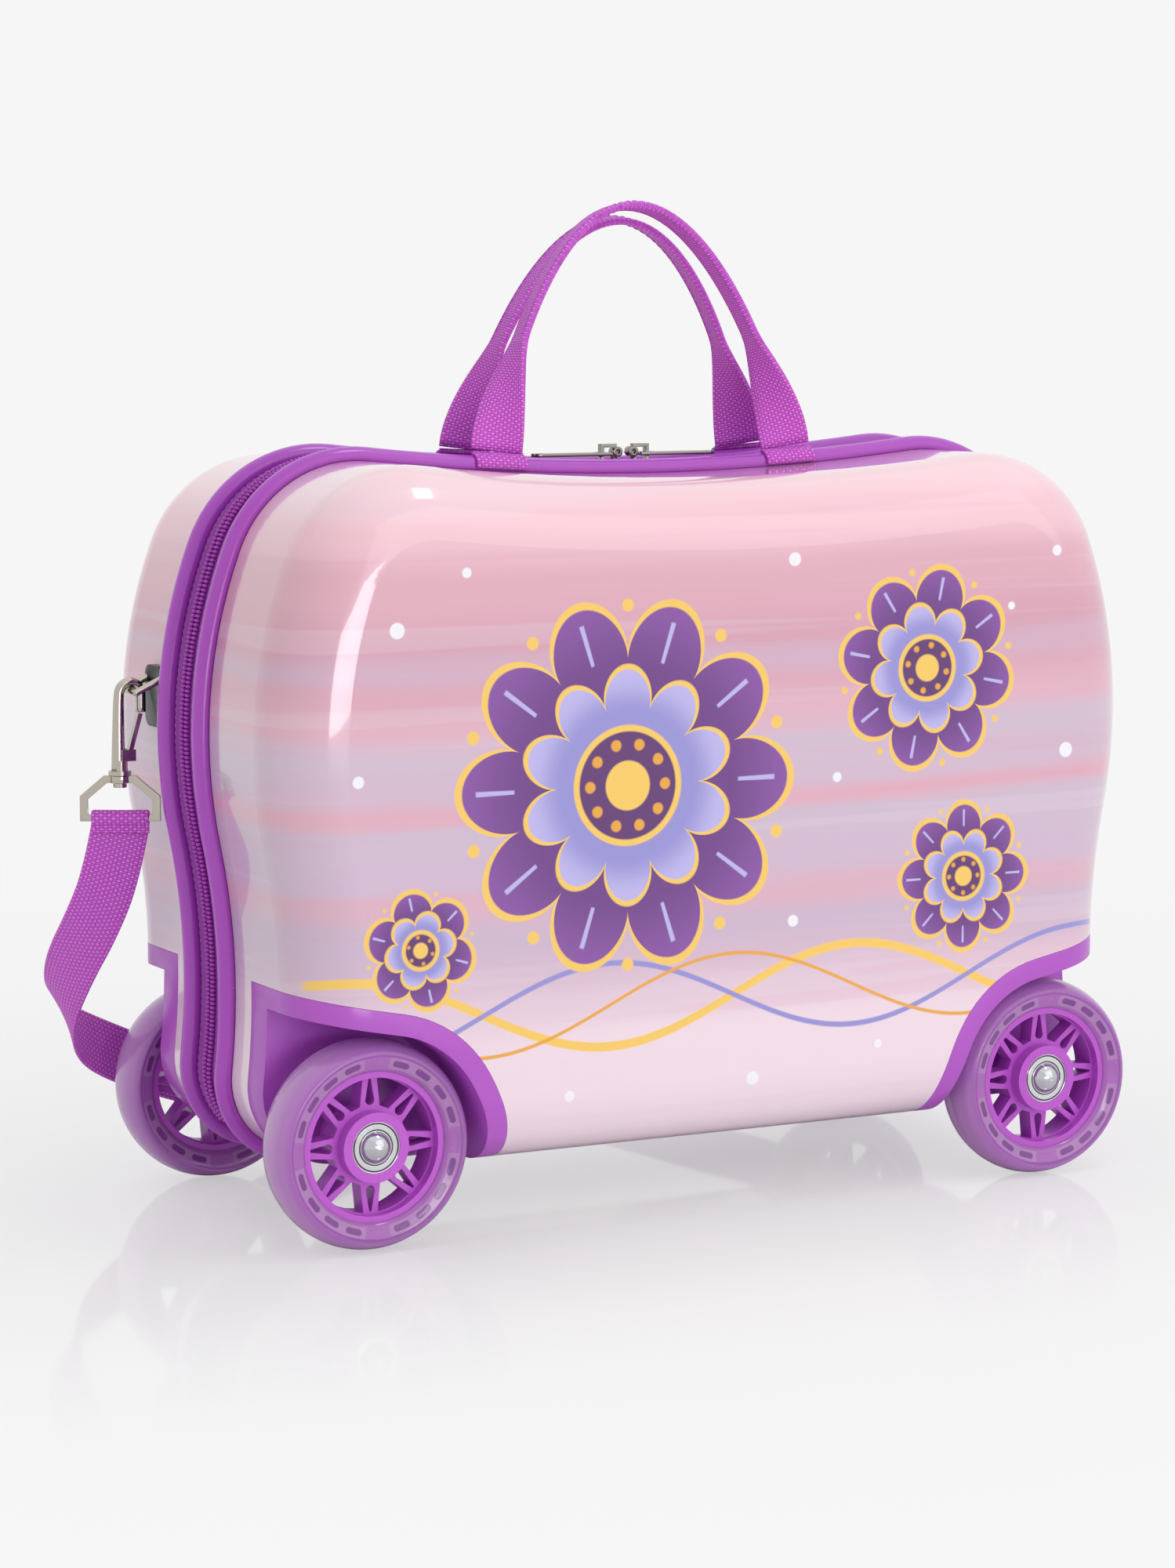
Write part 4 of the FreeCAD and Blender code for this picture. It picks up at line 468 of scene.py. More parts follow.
# The webbing's lightest colour is a painted sheen and its darkest a painted shade for the weave's
# gaps; in the woven cloths the darker colour is painted shade in the rib valleys.
WEBBING = basket_woven("purple_webbing", rgb(222, 70, 224), rgb(142, 22, 158),
                       rgb(246, 146, 250), 0.0023, 0.0036)
TAPE = woven("zip_tape_cloth", rgb(166, 44, 184), rgb(122, 20, 138), rgb(182, 64, 198),
             0.0011, 0.0009, 0.2)
LINING = woven("lining_cloth", rgb(220, 196, 226), rgb(204, 176, 212), rgb(228, 206, 232),
               0.0036, 0.0025, 0.25)
THREAD = woven("sewing_thread", rgb(190, 92, 206), rgb(150, 46, 168), rgb(206, 120, 220),
               0.0008, 0.0006, 0.2)
# NICKEL and HOOK are one nickel plating in two copies of different brightness, as painted light and
# shade: the darker on the sliders and pulls, the lighter on the hooks, eyes and anchor bail.
NICKEL = metal("nickel_plate", rgb(140, 135, 128), 0.15, 0.05)
HOOK = metal("nickel_plate_lighter_copy", rgb(184, 178, 167), 0.14, 0.05)
# The anchor plate's near-black colour is painted shade: the plate sits back against the wall, in the
# shadow of its bail.
PLATE_SHADE = metal("anchor_plate", rgb(36, 35, 36), 0.24, 0.06)
STEEL = metal("turned_steel", rgb(196, 197, 200), 0.26, 0.1)
CHROME = metal("polished_bolt", rgb(196, 197, 202), 0.10, 0.01)
SHIELD = bearing_shield()


def finish_node(name, material):
    """Give a CAD solid that is shown as it is its finish."""
    obj = NODES[name]
    if not obj.material_slots:
        obj.data.materials.append(material)
    for s in obj.material_slots:
        s.material = material


for half in HALVES:
    finish_node(f"{half}_shell", SHELL)
    finish_node(f"{half}_axle_bolts", CHROME)
    finish_node(f"{half}_axle_nuts", STEEL)
    finish_node(f"{half}_bearing_spacers", STEEL)
    for end in ENDS:
        finish_node(f"{half}_{end}_hub", HUB)
        finish_node(f"{half}_{end}_bearings", SHIELD)
for end in ENDS:
    for piece in ("hook", "hook_gate"):
        finish_node(f"{end}_{piece}", HOOK)
finish_node("packing_buckles", BUCKLE)

# Mesh helpers


def new_piece(name, mesh, material, body, slot, *nodes):
    """Link a finished mesh, give it its finish, and put it on its body, if it has just one."""
    mesh.name = name
    obj = bpy.data.objects.new(name, mesh)
    scene.collection.objects.link(obj)
    mesh.materials.clear()
    mesh.materials.append(material)
    mesh.polygons.foreach_set("use_smooth", [True] * len(mesh.polygons))
    if body:
        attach(obj, body)
    if nodes:
        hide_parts(*nodes)
    return obj


def walked(points):
    """Metres along a line of points, at each of them."""
    out = [0.0]
    for a, b in zip(points, points[1:]):
        out.append(out[-1] + math.hypot(*(q - p for p, q in zip(a, b))))
    return out


def joined(name, meshes):
    """One mesh out of several."""
    bm = bmesh.new()
    for mesh in meshes:
        bm.from_mesh(mesh)
        bpy.data.meshes.remove(mesh)
    whole = bpy.data.meshes.new(name)
    bm.to_mesh(whole)
    bm.free()
    return whole


def grid_mesh(name, rings, lengths, around, closed=False):
    """Skin over rings of points; UV is metres along the rings and metres round them."""
    bm = bmesh.new()
    uv = bm.loops.layers.uv.new("UVMap")
    rows = [[bm.verts.new(p) for p in ring] for ring in rings]
    n = len(rings[0])
    if closed:
        rows.append(rows[0])
    for i in range(len(rows) - 1):
        for j in range(n):
            k = (j + 1) % n
            face = bm.faces.new((rows[i][j], rows[i][k], rows[i + 1][k], rows[i + 1][j]))
            spots = ((lengths[i], around[j]), (lengths[i], around[j + 1]),
                     (lengths[i + 1], around[j + 1]), (lengths[i + 1], around[j]))
            for loop, spot in zip(face.loops, spots):
                loop[uv].uv = spot
    if not closed:
        for row, at in ((rows[0], lengths[0]), (rows[-1], lengths[-1])):
            face = bm.faces.new(row)
            for j, loop in enumerate(face.loops):
                loop[uv].uv = (at, around[j])
    bmesh.ops.recalc_face_normals(bm, faces=bm.faces)
    mesh = bpy.data.meshes.new(name)
    bm.to_mesh(mesh)
    bm.free()
    return mesh


def webbing_profile(width, thickness):
    """Cross-section of a woven band: thin, with full rounded selvedges."""
    w, h = width / 2, thickness / 2
    top = [(-w, 0.35 * h), (-w + 0.8 * h, h), (-0.6 * w, 0.94 * h), (-0.2 * w, 0.9 * h),
           (0.2 * w, 0.9 * h), (0.6 * w, 0.94 * h), (w - 0.8 * h, h), (w, 0.35 * h)]
    return top + [(a, -b) for a, b in reversed(top)]


def band_mesh(name, centres, acrosses, width, thickness, fold=None):
    """Webbing swept along centres; acrosses point along its width. Where fold is 1, the band
    is folded over to half its width."""
    profile = webbing_profile(width, thickness)
    around = [p[0] for p in profile] + [profile[0][0]]
    rings = []
    for i, (c, a) in enumerate(zip(centres, acrosses)):
        along = centres[min(i + 1, len(centres) - 1)] - centres[max(i - 1, 0)]
        along.normalize()
        u = (a - along * a.dot(along)).normalized()
        v = along.cross(u)
        share = fold[i] if fold else 0.0
        across = webbing_profile(width * (1 - 0.5 * share), thickness * (1 + share))
        rings.append([c + u * p + v * q for p, q in across])
    return grid_mesh(name, rings, walked(centres), around)


# Rows of stitches and coil turns: one Geometry Nodes tree walks along a path


def row_tree():
    """Beads set along the edges of a mesh, each turned to the path and to its "up"."""
    tree = bpy.data.node_groups.new("row_along_path", "GeometryNodeTree")
    face = tree.interface
    face.new_socket("Geometry", in_out="INPUT", socket_type="NodeSocketGeometry")
    face.new_socket("Spacing", in_out="INPUT", socket_type="NodeSocketFloat")
    face.new_socket("Size", in_out="INPUT", socket_type="NodeSocketVector")
    face.new_socket("Material", in_out="INPUT", socket_type="NodeSocketMaterial")
    face.new_socket("Geometry", in_out="OUTPUT", socket_type="NodeSocketGeometry")
    new, link = tree.nodes.new, tree.links.new
    given, result = new("NodeGroupInput"), new("NodeGroupOutput")
    curve = new("GeometryNodeMeshToCurve")
    points = new("GeometryNodeCurveToPoints")
    points.mode = "LENGTH"
    bead = new("GeometryNodeMeshUVSphere")
    bead.inputs["Segments"].default_value = 8
    bead.inputs["Rings"].default_value = 5
    bead.inputs["Radius"].default_value = 0.5
    up = new("GeometryNodeInputNamedAttribute")
    up.data_type = "FLOAT_VECTOR"
    up.inputs["Name"].default_value = "up"
    along = new("FunctionNodeAlignRotationToVector")
    along.axis = "X"
    upright = new("FunctionNodeAlignRotationToVector")
    upright.axis = "Z"
    upright.pivot_axis = "X"
    place = new("GeometryNodeInstanceOnPoints")
    solid, paint = new("GeometryNodeRealizeInstances"), new("GeometryNodeSetMaterial")
    link(given.outputs["Geometry"], curve.inputs["Mesh"])
    link(curve.outputs["Curve"], points.inputs["Curve"])
    link(given.outputs["Spacing"], points.inputs["Length"])
    link(points.outputs["Tangent"], along.inputs["Vector"])
    link(along.outputs["Rotation"], upright.inputs["Rotation"])
    link(up.outputs["Attribute"], upright.inputs["Vector"])
    link(points.outputs["Points"], place.inputs["Points"])
    link(bead.outputs["Mesh"], place.inputs["Instance"])
    link(upright.outputs["Rotation"], place.inputs["Rotation"])
    link(given.outputs["Size"], place.inputs["Scale"])
    link(place.outputs["Instances"], solid.inputs["Geometry"])
    link(solid.outputs["Geometry"], paint.inputs["Geometry"])
    link(given.outputs["Material"], paint.inputs["Material"])
    link(paint.outputs["Geometry"], result.inputs["Geometry"])
    return tree


ROW = row_tree()

# Sewing: the pitch of each row, and a stitch's length, width and height

TAPE_STITCH = 0.0034, (0.0025, 0.0006, 0.0006)
GRIP_STITCH = 0.0036, (0.0027, 0.0007, 0.0007)
TAB_STITCH = 0.0030, (0.0024, 0.0006, 0.0006)
PACKING_STITCH = 0.0030, (0.0023, 0.0007, 0.0007)


def rows_along(name, paths, spacing, bead, material, body, slot, *nodes):
    """Beads of one size along several open paths of (point, up) pairs."""
    verts, edges, ups = [], [], []
    for path in paths:
        first = len(verts)
        verts += [p for p, _ in path]
        ups += [n for _, n in path]
        edges += [(first + i, first + i + 1) for i in range(len(path) - 1)]
    mesh = bpy.data.meshes.new(name + "_path")
    mesh.from_pydata(verts, edges, [])
    layer = mesh.attributes.new("up", "FLOAT_VECTOR", "POINT")
    for i, n in enumerate(ups):
        layer.data[i].vector = n
    obj = bpy.data.objects.new(name + "_path", mesh)
    scene.collection.objects.link(obj)
    mod = obj.modifiers.new("row", "NODES")
    mod.node_group = ROW
    ids = {s.name: s.identifier for s in ROW.interface.items_tree if s.in_out == "INPUT"}
    mod[ids["Spacing"]] = spacing
    mod[ids["Size"]] = bead
    mod[ids["Material"]] = material
    obj.update_tag()
    graph = bpy.context.evaluated_depsgraph_get()
    made = bpy.data.meshes.new_from_object(obj.evaluated_get(graph), depsgraph=graph)
    bpy.data.objects.remove(obj)
    new_piece(name, made, material, body, slot, *nodes)


# Zip: cloth tapes, coil turns and sewing beside the piping

ZIP_FOOT, HINGE_EDGE = 0.0436, 0.152
BASE_X = ARCS["base"][0]
TAPE_FEET = [HINGE_EDGE + (BASE_X - HINGE_EDGE) * i / 4 for i in range(4)]

# The tape's section: distance from the parting and height over the outline, first along its top;
# at the foot it flattens to the level of the hinge cloth

TAPE_SECTION = [(0.0011, 0.0002), (0.0030, 0.0005), (0.0052, 0.0007), (0.0080, 0.0009),
                (0.0112, 0.0008), (0.0138, 0.0001), (0.0153, -0.0012), (0.0168, -0.0030),
                (0.0310, -0.0031), (0.0310, -0.0041), (0.0168, -0.0041), (0.0138, -0.0012),
                (0.0080, -0.0003), (0.0011, -0.0008)]
HINGE_LEVELS = [-0.0031] * 9 + [-0.0041] * 5
COIL_OUT, COIL_Y, COIL_PITCH, COIL_TURN = 0.0013, 0.0025, 0.0019, (0.00195, 0.0034, 0.0030)
TAPE_SEAMS = ((0.0062, 0.0008), (0.0122, 0.0006))


def ring_run(off, y, points):
    """The outline's points, moved outward and towards one half."""
    return [(p + n * off + Vector((0, y, 0)), n) for p, n in points]


for half, side in HALVES.items():
    foot = [(Vector((x, 0, BASE_H)), DOWN) for x in TAPE_FEET]
    tape = [(Vector((-p.x, 0, p.z)), n) for p, n in foot] + OUTLINE + foot[::-1]
    rings = []
    for p, n in tape:
        flat = min(max((ZIP_FOOT - p.z) / (ZIP_FOOT - BASE_H), 0.0), 1.0)
        rings.append([p + n * (off + (level - off) * flat) + Vector((0, side * y, 0))
                      for (y, off), level in zip(TAPE_SECTION, HINGE_LEVELS)])
    mesh = grid_mesh("zip_tape", rings, walked([p for p, _ in tape]),
                     walked(TAPE_SECTION + TAPE_SECTION[:1]))
    new_piece(f"{half}_tape_cloth", mesh, TAPE, f"{half}_half", "zip_tape", f"{half}_zip_tape")
    teeth = [(p, n) for p, n in OUTLINE if p.z > ZIP_FOOT or abs(p.x) > 0.2]
    rows_along(f"{half}_coil", [ring_run(COIL_OUT, side * COIL_Y, teeth)], COIL_PITCH, COIL_TURN,
               COIL, f"{half}_half", "zip_coil", f"{half}_zip_teeth")
    sewing = [ring_run(off, side * y, teeth) for y, off in TAPE_SEAMS]
    rows_along(f"{half}_tape_sewing", sewing, *TAPE_STITCH, THREAD, f"{half}_half", "zip_tape")

# Piping: one smooth tube round each half's rim

BOTTOM_STEPS, TUBE_SIDES = 60, 20
TUBE_TURNS = [2 * math.pi * j / TUBE_SIDES for j in range(TUBE_SIDES + 1)]
BOTTOM = [(Vector((BASE_X * (1 - 2 * i / BOTTOM_STEPS), 0, BASE_H)), DOWN)
          for i in range(1, BOTTOM_STEPS)]
for half, side in HALVES.items():
    loop = OUTLINE + BOTTOM
    rings = []
    for p, n in loop:
        centre = p + n * PIPING_RISE + Vector((0, side * PIPING_Y, 0))
        rings.append([centre + n * (PIPING_R * math.cos(t)) + Vector((0, PIPING_R * math.sin(t), 0))
                      for t in TUBE_TURNS[:-1]])
    lengths = walked([p for p, _ in loop + loop[:1]])
    mesh = grid_mesh("piping", rings, lengths, [PIPING_R * t for t in TUBE_TURNS], closed=True)
    new_piece(f"{half}_piping_tube", mesh, PIPING, f"{half}_half", "piping", f"{half}_piping")

# Hinge: one flat cloth along the bottom, attached to neither half

HINGE_X, HINGE_Y, HINGE_Z, HINGE_T = 0.1518, 0.0318, 0.0352, 0.0011
HINGE_ALONG, HINGE_ACROSS = 40, 48
across = [HINGE_Y * (2 * i / HINGE_ACROSS - 1) for i in range(HINGE_ACROSS + 1)]
section = [(y, HINGE_T / 2) for y in across] + [(y, -HINGE_T / 2) for y in reversed(across)]
rings = [[Vector((HINGE_X * (2 * i / HINGE_ALONG - 1), y, HINGE_Z + z)) for y, z in section]
         for i in range(HINGE_ALONG + 1)]
lengths = [2 * HINGE_X * i / HINGE_ALONG for i in range(HINGE_ALONG + 1)]
around = [HINGE_Y * 2 * i / HINGE_ACROSS for i in range(len(section) + 1)]
mesh = grid_mesh("hinge", rings, lengths, around)
hinge = new_piece("hinge_cloth", mesh, TAPE, None, "zip_tape",
                  "front_hinge_strip", "back_hinge_strip")
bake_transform(hinge)

# Carry handles: webbing, flat at the piping, then turned and folded over for the grip

LEAN = math.radians(6.5)
TAB_GAP, FOOT_GAP = 0.0001, 0.0006
FOOT = PIPING_R + TAB_GAP + WEB_T + FOOT_GAP
ARCH_P, ARCH_Q, TWIST_SHARE = 2.0, 1.3, 0.46
HANDLES = {"front": (0.146, 0.108), "back": (0.141, 0.102)}


def arch(t, spacing, rise):
    """A handle's bow: x and height at t, from 0 at the left foot to pi at the right one."""
    c, s = math.cos(t), max(math.sin(t), 0.0)
    return (-spacing / 2 * math.copysign(abs(c) ** (2 / ARCH_P), c), rise * s ** (2 / ARCH_Q))


def handle_run(half, count=72, dense_count=2000):
    """Centres, directions across and share of the fold along a handle, at even steps."""
    side = HALVES[half]
    spacing, rise = HANDLES[half]
    pivot = Vector((0, side * PIPING_Y, tube_height(spacing / 2)))
    up = Vector((0, -side * math.sin(LEAN), math.cos(LEAN)))
    out = Vector((0, side * math.cos(LEAN), math.sin(LEAN)))
    dense = [arch(math.pi * i / dense_count, spacing, rise) for i in range(dense_count + 1)]
    walk = walked(dense)
    centres, acrosses, folds, at = [], [], [], 0
    for i in range(count + 1):
        goal = walk[-1] * i / count
        while at < dense_count - 1 and walk[at + 1] < goal:
            at += 1
        x, v = dense[at] if i < count else dense[-1]
        nx, nv = dense[min(at + 3, dense_count)]
        px, pv = dense[max(at - 3, 0)]
        along = (Vector((nx - px, 0, 0)) + up * (nv - pv)).normalized()
        if i in (0, count):
            along = (up * TUBE_R - Vector((x, 0, 0))).normalized() * (1 if i == 0 else -1)
        inward = along.cross(out)
        blend = min(v / (TWIST_SHARE * rise), 1.0)
        twist = math.pi / 2 * blend
        sign = 1 if x < 0 else -1
        centres.append(pivot + Vector((x, 0, 0)) + up * (FOOT + v))
        acrosses.append(inward * math.cos(twist) * sign + out * math.sin(twist))
        folds.append(blend)
    for i in range(1, len(acrosses)):
        if acrosses[i].dot(acrosses[i - 1]) < 0:
            acrosses[i] = -acrosses[i]
    return centres, acrosses, folds


GRIP_SEAM, SEAM_SINK, WHOLE_FOLD = 0.0042, 0.98, 0.999
for half in HALVES:
    centres, acrosses, folds = handle_run(half)
    mesh = band_mesh("handle", centres, acrosses, WEB_W, WEB_T, folds)
    new_piece(f"{half}_handle_web", mesh, WEBBING, f"{half}_grip", "webbing", f"{half}_handle")
    seams = [[], []]
    for i in range(1, len(centres) - 1):
        if folds[i] < WHOLE_FOLD:
            continue
        along = (centres[i + 1] - centres[i - 1]).normalized()
        u = (acrosses[i] - along * acrosses[i].dot(along)).normalized()
        v = along.cross(u)
        for line, face in zip(seams, (1, -1)):
            line.append((centres[i] + u * GRIP_SEAM + v * (face * WEB_T * SEAM_SINK), v * face))
    rows_along(f"{half}_grip_sewing", seams, *GRIP_STITCH, THREAD, f"{half}_grip", "webbing")

# Handle ends folded over the piping and sewn down, with a thin hem under the handle

HEM_T, TAB_STEPS, TAB_SEAMS = 0.0005, 18, (9, 16)
SEAM_HALF, SEAM_OUT = 0.0105, WEB_T / 2 - 0.0002
for half, side in HALVES.items():
    bands, rows = [], []
    for end in ENDS.values():
        x = end * HANDLES[half][0] / 2
        tilt = -math.asin(x / TUBE_R)
        across = Vector((math.cos(tilt), 0, -math.sin(tilt)))
        top = Vector((math.sin(tilt), 0, math.cos(tilt)))
        hub = Vector((x, side * PIPING_Y, tube_height(x)))
        reach = PIPING_R + TAB_GAP + WEB_T / 2
        hem = reach + WEB_T / 2 + HEM_T / 2
        for far, first, last, thick in ((hem, -9.5, -1.5, HEM_T), (reach, -9, 95, WEB_T)):
            centres = []
            for i in range(TAB_STEPS + 1):
                a = math.radians(first + (last - first) * i / TAB_STEPS)
                centres.append(hub + top * (far * math.cos(a))
                               + Vector((0, side * far * math.sin(a), 0)))
            bands.append(band_mesh("tab", centres, [across] * len(centres), WEB_W, thick))
        for i in TAB_SEAMS:
            c = centres[i]
            n = (c - hub).normalized()
            rows.append([(c + across * (SEAM_HALF * (2 * j / 12 - 1)) + n * SEAM_OUT, n)
                         for j in range(13)])
    new_piece(f"{half}_handle_ends", joined("tabs", bands), WEBBING, f"{half}_half", "webbing",
              f"{half}_handle_tabs")
    rows_along(f"{half}_tab_sewing", rows, *TAB_STITCH, THREAD, f"{half}_half", "webbing")

# Copies of the solids with their edges eased


def merged_copy(node):
    """The node's mesh with its doubles merged, ready to be worked on."""
    mesh = NODES[node].data.copy()
    bm = bmesh.new()
    bm.from_mesh(mesh)
    bmesh.ops.remove_doubles(bm, verts=bm.verts, dist=1e-5)
    bm.to_mesh(mesh)
    bm.free()
    return mesh


def eased(node, width, material, body, slot):
    """A copy of the node with its sharp edges rounded off, shown in its place."""
    mesh = merged_copy(node)
    bm = bmesh.new()
    bm.from_mesh(mesh)
    bmesh.ops.dissolve_limit(bm, angle_limit=math.radians(1.0), verts=bm.verts, edges=bm.edges)
    sharp = [e for e in bm.edges
             if len(e.link_faces) == 2 and e.calc_face_angle() > math.radians(40)]
    bmesh.ops.bevel(bm, geom=sharp, offset=width, segments=3, profile=0.5, affect="EDGES",
                    clamp_overlap=True)
    bm.to_mesh(mesh)
    bm.free()
    piece = new_piece(f"{node}_eased", mesh, material, body, slot, node)
    mesh.set_sharp_from_angle(angle=math.radians(32))
    return piece


for half in HALVES:
    for end in ENDS:
        eased(f"{half}_{end}_wheel_housing", 0.0009, HOUSING, f"{half}_half", "purple_plastic")
EYES, PLATE_FACE = [], 0.2143
for end in ENDS:
    anchor = eased(f"{end}_strap_anchor", 0.0005, HOOK, "back_half", "nickel")
    # The plate's own faces take the near-black painted shade finish; the bail keeps the lighter
    # nickel.
    anchor.data.materials.append(PLATE_SHADE)
    for face in anchor.data.polygons:
        if abs(face.center.x) < PLATE_FACE:
            face.material_index = 1
    eased(f"{end}_zip_slider", 0.0004, NICKEL, f"{end}_slider", "nickel")
    eased(f"{end}_zip_pull", 0.0004, NICKEL, f"{end}_pull", "nickel")
    EYES.append(eased(f"{end}_swivel_eye", 0.0011, HOOK, "back_half", "nickel"))

# Shoulder strap: one length of flat webbing from eye to eye, behind the case

STRAP_ROUTE = [
    ((-0.2300, 0.0340, 0.1706), (0.885, -0.466, 0.0)),
    ((-0.2320, 0.0410, 0.1470), (0.880, -0.466, -0.05)),
    ((-0.2360, 0.0550, 0.1240), (0.800, -0.570, -0.20)),
    ((-0.2400, 0.0740, 0.1020), (0.600, -0.680, -0.42)),
    ((-0.2380, 0.0930, 0.0820), (0.280, -0.640, -0.71)),
    ((-0.2240, 0.1070, 0.0660), (0.020, -0.370, -0.93)),
    ((-0.2010, 0.1150, 0.0530), (-0.220, -0.080, -0.97)),
    ((-0.1710, 0.1200, 0.0410), (-0.280, 0.100, -0.95)),
    ((-0.1370, 0.1235, 0.0290), (-0.270, 0.280, -0.92)),
    ((-0.1020, 0.1260, 0.0185), (-0.180, 0.560, -0.81)),
    ((-0.0660, 0.1276, 0.0095), (-0.080, 0.850, -0.52)),
    ((-0.0300, 0.1286, 0.0032), (-0.010, 0.990, -0.12)),
    ((0.0000, 0.1290, 0.0013), (0.0, 1.0, 0.0)),
]
STRAP_LEFT = [(Vector(p), Vector(w)) for p, w in STRAP_ROUTE]
STRAP_STOPS = STRAP_LEFT + [(Vector((-p.x, p.y, p.z)), Vector((-w.x, w.y, w.z)))
                            for p, w in STRAP_LEFT[-2::-1]]


def spline_points(stops):
    """Points of the smooth line that has the route's points as control points."""
    curve = bpy.data.curves.new("strap_line", "CURVE")
    curve.dimensions = "3D"
    spline = curve.splines.new("NURBS")
    spline.points.add(len(stops) - 1)
    for point, (p, _) in zip(spline.points, stops):
        point.co = (p.x, p.y, p.z, 1.0)
    spline.order_u = 3
    spline.use_endpoint_u = True
    spline.resolution_u = 8
    obj = bpy.data.objects.new("strap_line", curve)
    scene.collection.objects.link(obj)
    graph = bpy.context.evaluated_depsgraph_get()
    mesh = bpy.data.meshes.new_from_object(obj.evaluated_get(graph), depsgraph=graph)
    points = [v.co.copy() for v in mesh.vertices]
    bpy.data.objects.remove(obj)
    bpy.data.meshes.remove(mesh)
    return points


strap_line = spline_points(STRAP_STOPS)
strap_across = []
for p in strap_line:
    near = sorted(((p - q).length, i) for i, (q, _) in enumerate(STRAP_STOPS))
    (da, a), (db, b) = near[:2]
    strap_across.append((STRAP_STOPS[a][1] * db + STRAP_STOPS[b][1] * da).normalized())
for _ in range(6):
    strap_across = [(strap_across[max(i - 1, 0)] + w * 2
                     + strap_across[min(i + 1, len(strap_across) - 1)]).normalized()
                    for i, w in enumerate(strap_across)]
mesh = band_mesh("strap", strap_line, strap_across, WEB_W, WEB_T)
strap = new_piece("shoulder_webbing", mesh, WEBBING, "back_half", "webbing", "shoulder_strap")

# Strap ends sewn back round each eye's bar

SWIVEL = math.radians(27.7)
BAR = Vector((0.230, 0.034, 0.1736))
WRAP_R, WRAP_T, WRAP_STEPS, WRAP_TAIL = 0.0027, 0.0015, 32, 0.004
for end, sign in ENDS.items():
    across = Vector((math.cos(SWIVEL), sign * math.sin(SWIVEL), 0))
    through = Vector((-sign * math.sin(SWIVEL), math.cos(SWIVEL), 0))
    centre = Vector((sign * BAR.x, BAR.y, BAR.z))
    centres = []
    for i in range(WRAP_STEPS + 1):
        a = math.radians(-90 + 352 * i / WRAP_STEPS)
        centres.append(centre + through * (WRAP_R * math.cos(a))
                       + Vector((0, 0, WRAP_R * math.sin(a))))
    run = [centres[0] + DOWN * (WRAP_TAIL * k / 4) for k in range(4, 0, -1)] + centres
    mesh = band_mesh("wrap", run, [across] * len(run), WEB_W, WRAP_T)
    new_piece(f"{end}_strap_wrap", mesh, WEBBING, "back_half", "webbing")

# Hook bodies: cast, full at the swivel and slimmer towards the tip

HOOK_BOW = Vector((0.225, 0.034, 0.2274))
HOOK_BEND, HOOK_FOOT, HOOK_TIP, HOOK_SWELL = 0.005, 0.1934, 0.008, 0.0007
ROOT_R, ROOT_TAPER, WIRE_R = 0.0031, 0.0008, 0.00225
for end, sign in ENDS.items():
    spots = [(-HOOK_BEND - HOOK_SWELL * (1 - k / 12) ** 0.5,
              (HOOK_FOOT - HOOK_BOW.z) * (1 - k / 12), ROOT_R - ROOT_TAPER * k / 12)
             for k in range(13)]
    spots += [(-HOOK_BEND * math.cos(a), HOOK_BEND * math.sin(a), WIRE_R)
              for a in (math.pi * k / 14 for k in range(1, 15))]
    spots += [(HOOK_BEND, -HOOK_TIP * k / 4, WIRE_R) for k in range(1, 5)]
    rings = []
    for i, (x, z, r) in enumerate(spots):
        ahead, behind = spots[min(i + 1, len(spots) - 1)], spots[max(i - 1, 0)]
        along = Vector((ahead[0] - behind[0], 0, ahead[1] - behind[1])).normalized()
        across = Vector((along.z, 0, -along.x))
        c = Vector((x - HOOK_BOW.x, HOOK_BOW.y, HOOK_BOW.z + z))
        ring = [c + across * (r * math.cos(t)) + Vector((0, r * math.sin(t), 0))
                for t in TUBE_TURNS[:-1]]
        rings.append([Vector((p.x * -sign, p.y, p.z)) for p in ring])
    mesh = grid_mesh("hook_body", rings, walked([spot[:2] for spot in spots]),
                     [WIRE_R * t for t in TUBE_TURNS])
    new_piece(f"{end}_hook_body", mesh, HOOK, f"{end}_snap_hook", "nickel")

# Tyres: smooth rings turned about each axle

TYRE_HALF = [(0.0320, 0.0092), (0.0326, 0.0104), (0.0338, 0.0113), (0.0360, 0.0119),
             (0.0380, 0.0124), (0.0396, 0.0129), (0.0405, 0.0127), (0.0416, 0.0117),
             (0.0428, 0.0098), (0.0438, 0.0074), (0.0445, 0.0046), (0.0449, 0.0016)]
TYRE_LOOP = TYRE_HALF + [(r, -y) for r, y in reversed(TYRE_HALF)]
TYRE_TURNS = 160


def tyre_mesh(centre):
    """A ring of the tyre's section; UV is quarter turns and the radius."""
    bm = bmesh.new()
    uv = bm.loops.layers.uv.new("UVMap")
    rows = []
    for i in range(TYRE_TURNS):
        a = 2 * math.pi * i / TYRE_TURNS
        rows.append([bm.verts.new(centre + Vector((r * math.cos(a), y, r * math.sin(a))))
                     for r, y in TYRE_LOOP])
    n = len(TYRE_LOOP)
    for i in range(TYRE_TURNS):
        a, b = rows[i], rows[(i + 1) % TYRE_TURNS]
        for j in range(n):
            k = (j + 1) % n
            face = bm.faces.new((a[j], a[k], b[k], b[j]))
            start, stop = 4 * i / TYRE_TURNS, 4 * (i + 1) / TYRE_TURNS
            spots = ((start, j), (start, k), (stop, k), (stop, j))
            for loop, (u, m) in zip(face.loops, spots):
                loop[uv].uv = (u, TYRE_LOOP[m][0])
    bmesh.ops.recalc_face_normals(bm, faces=bm.faces)
    mesh = bpy.data.meshes.new("tyre")
    bm.to_mesh(mesh)
    bm.free()
    return mesh


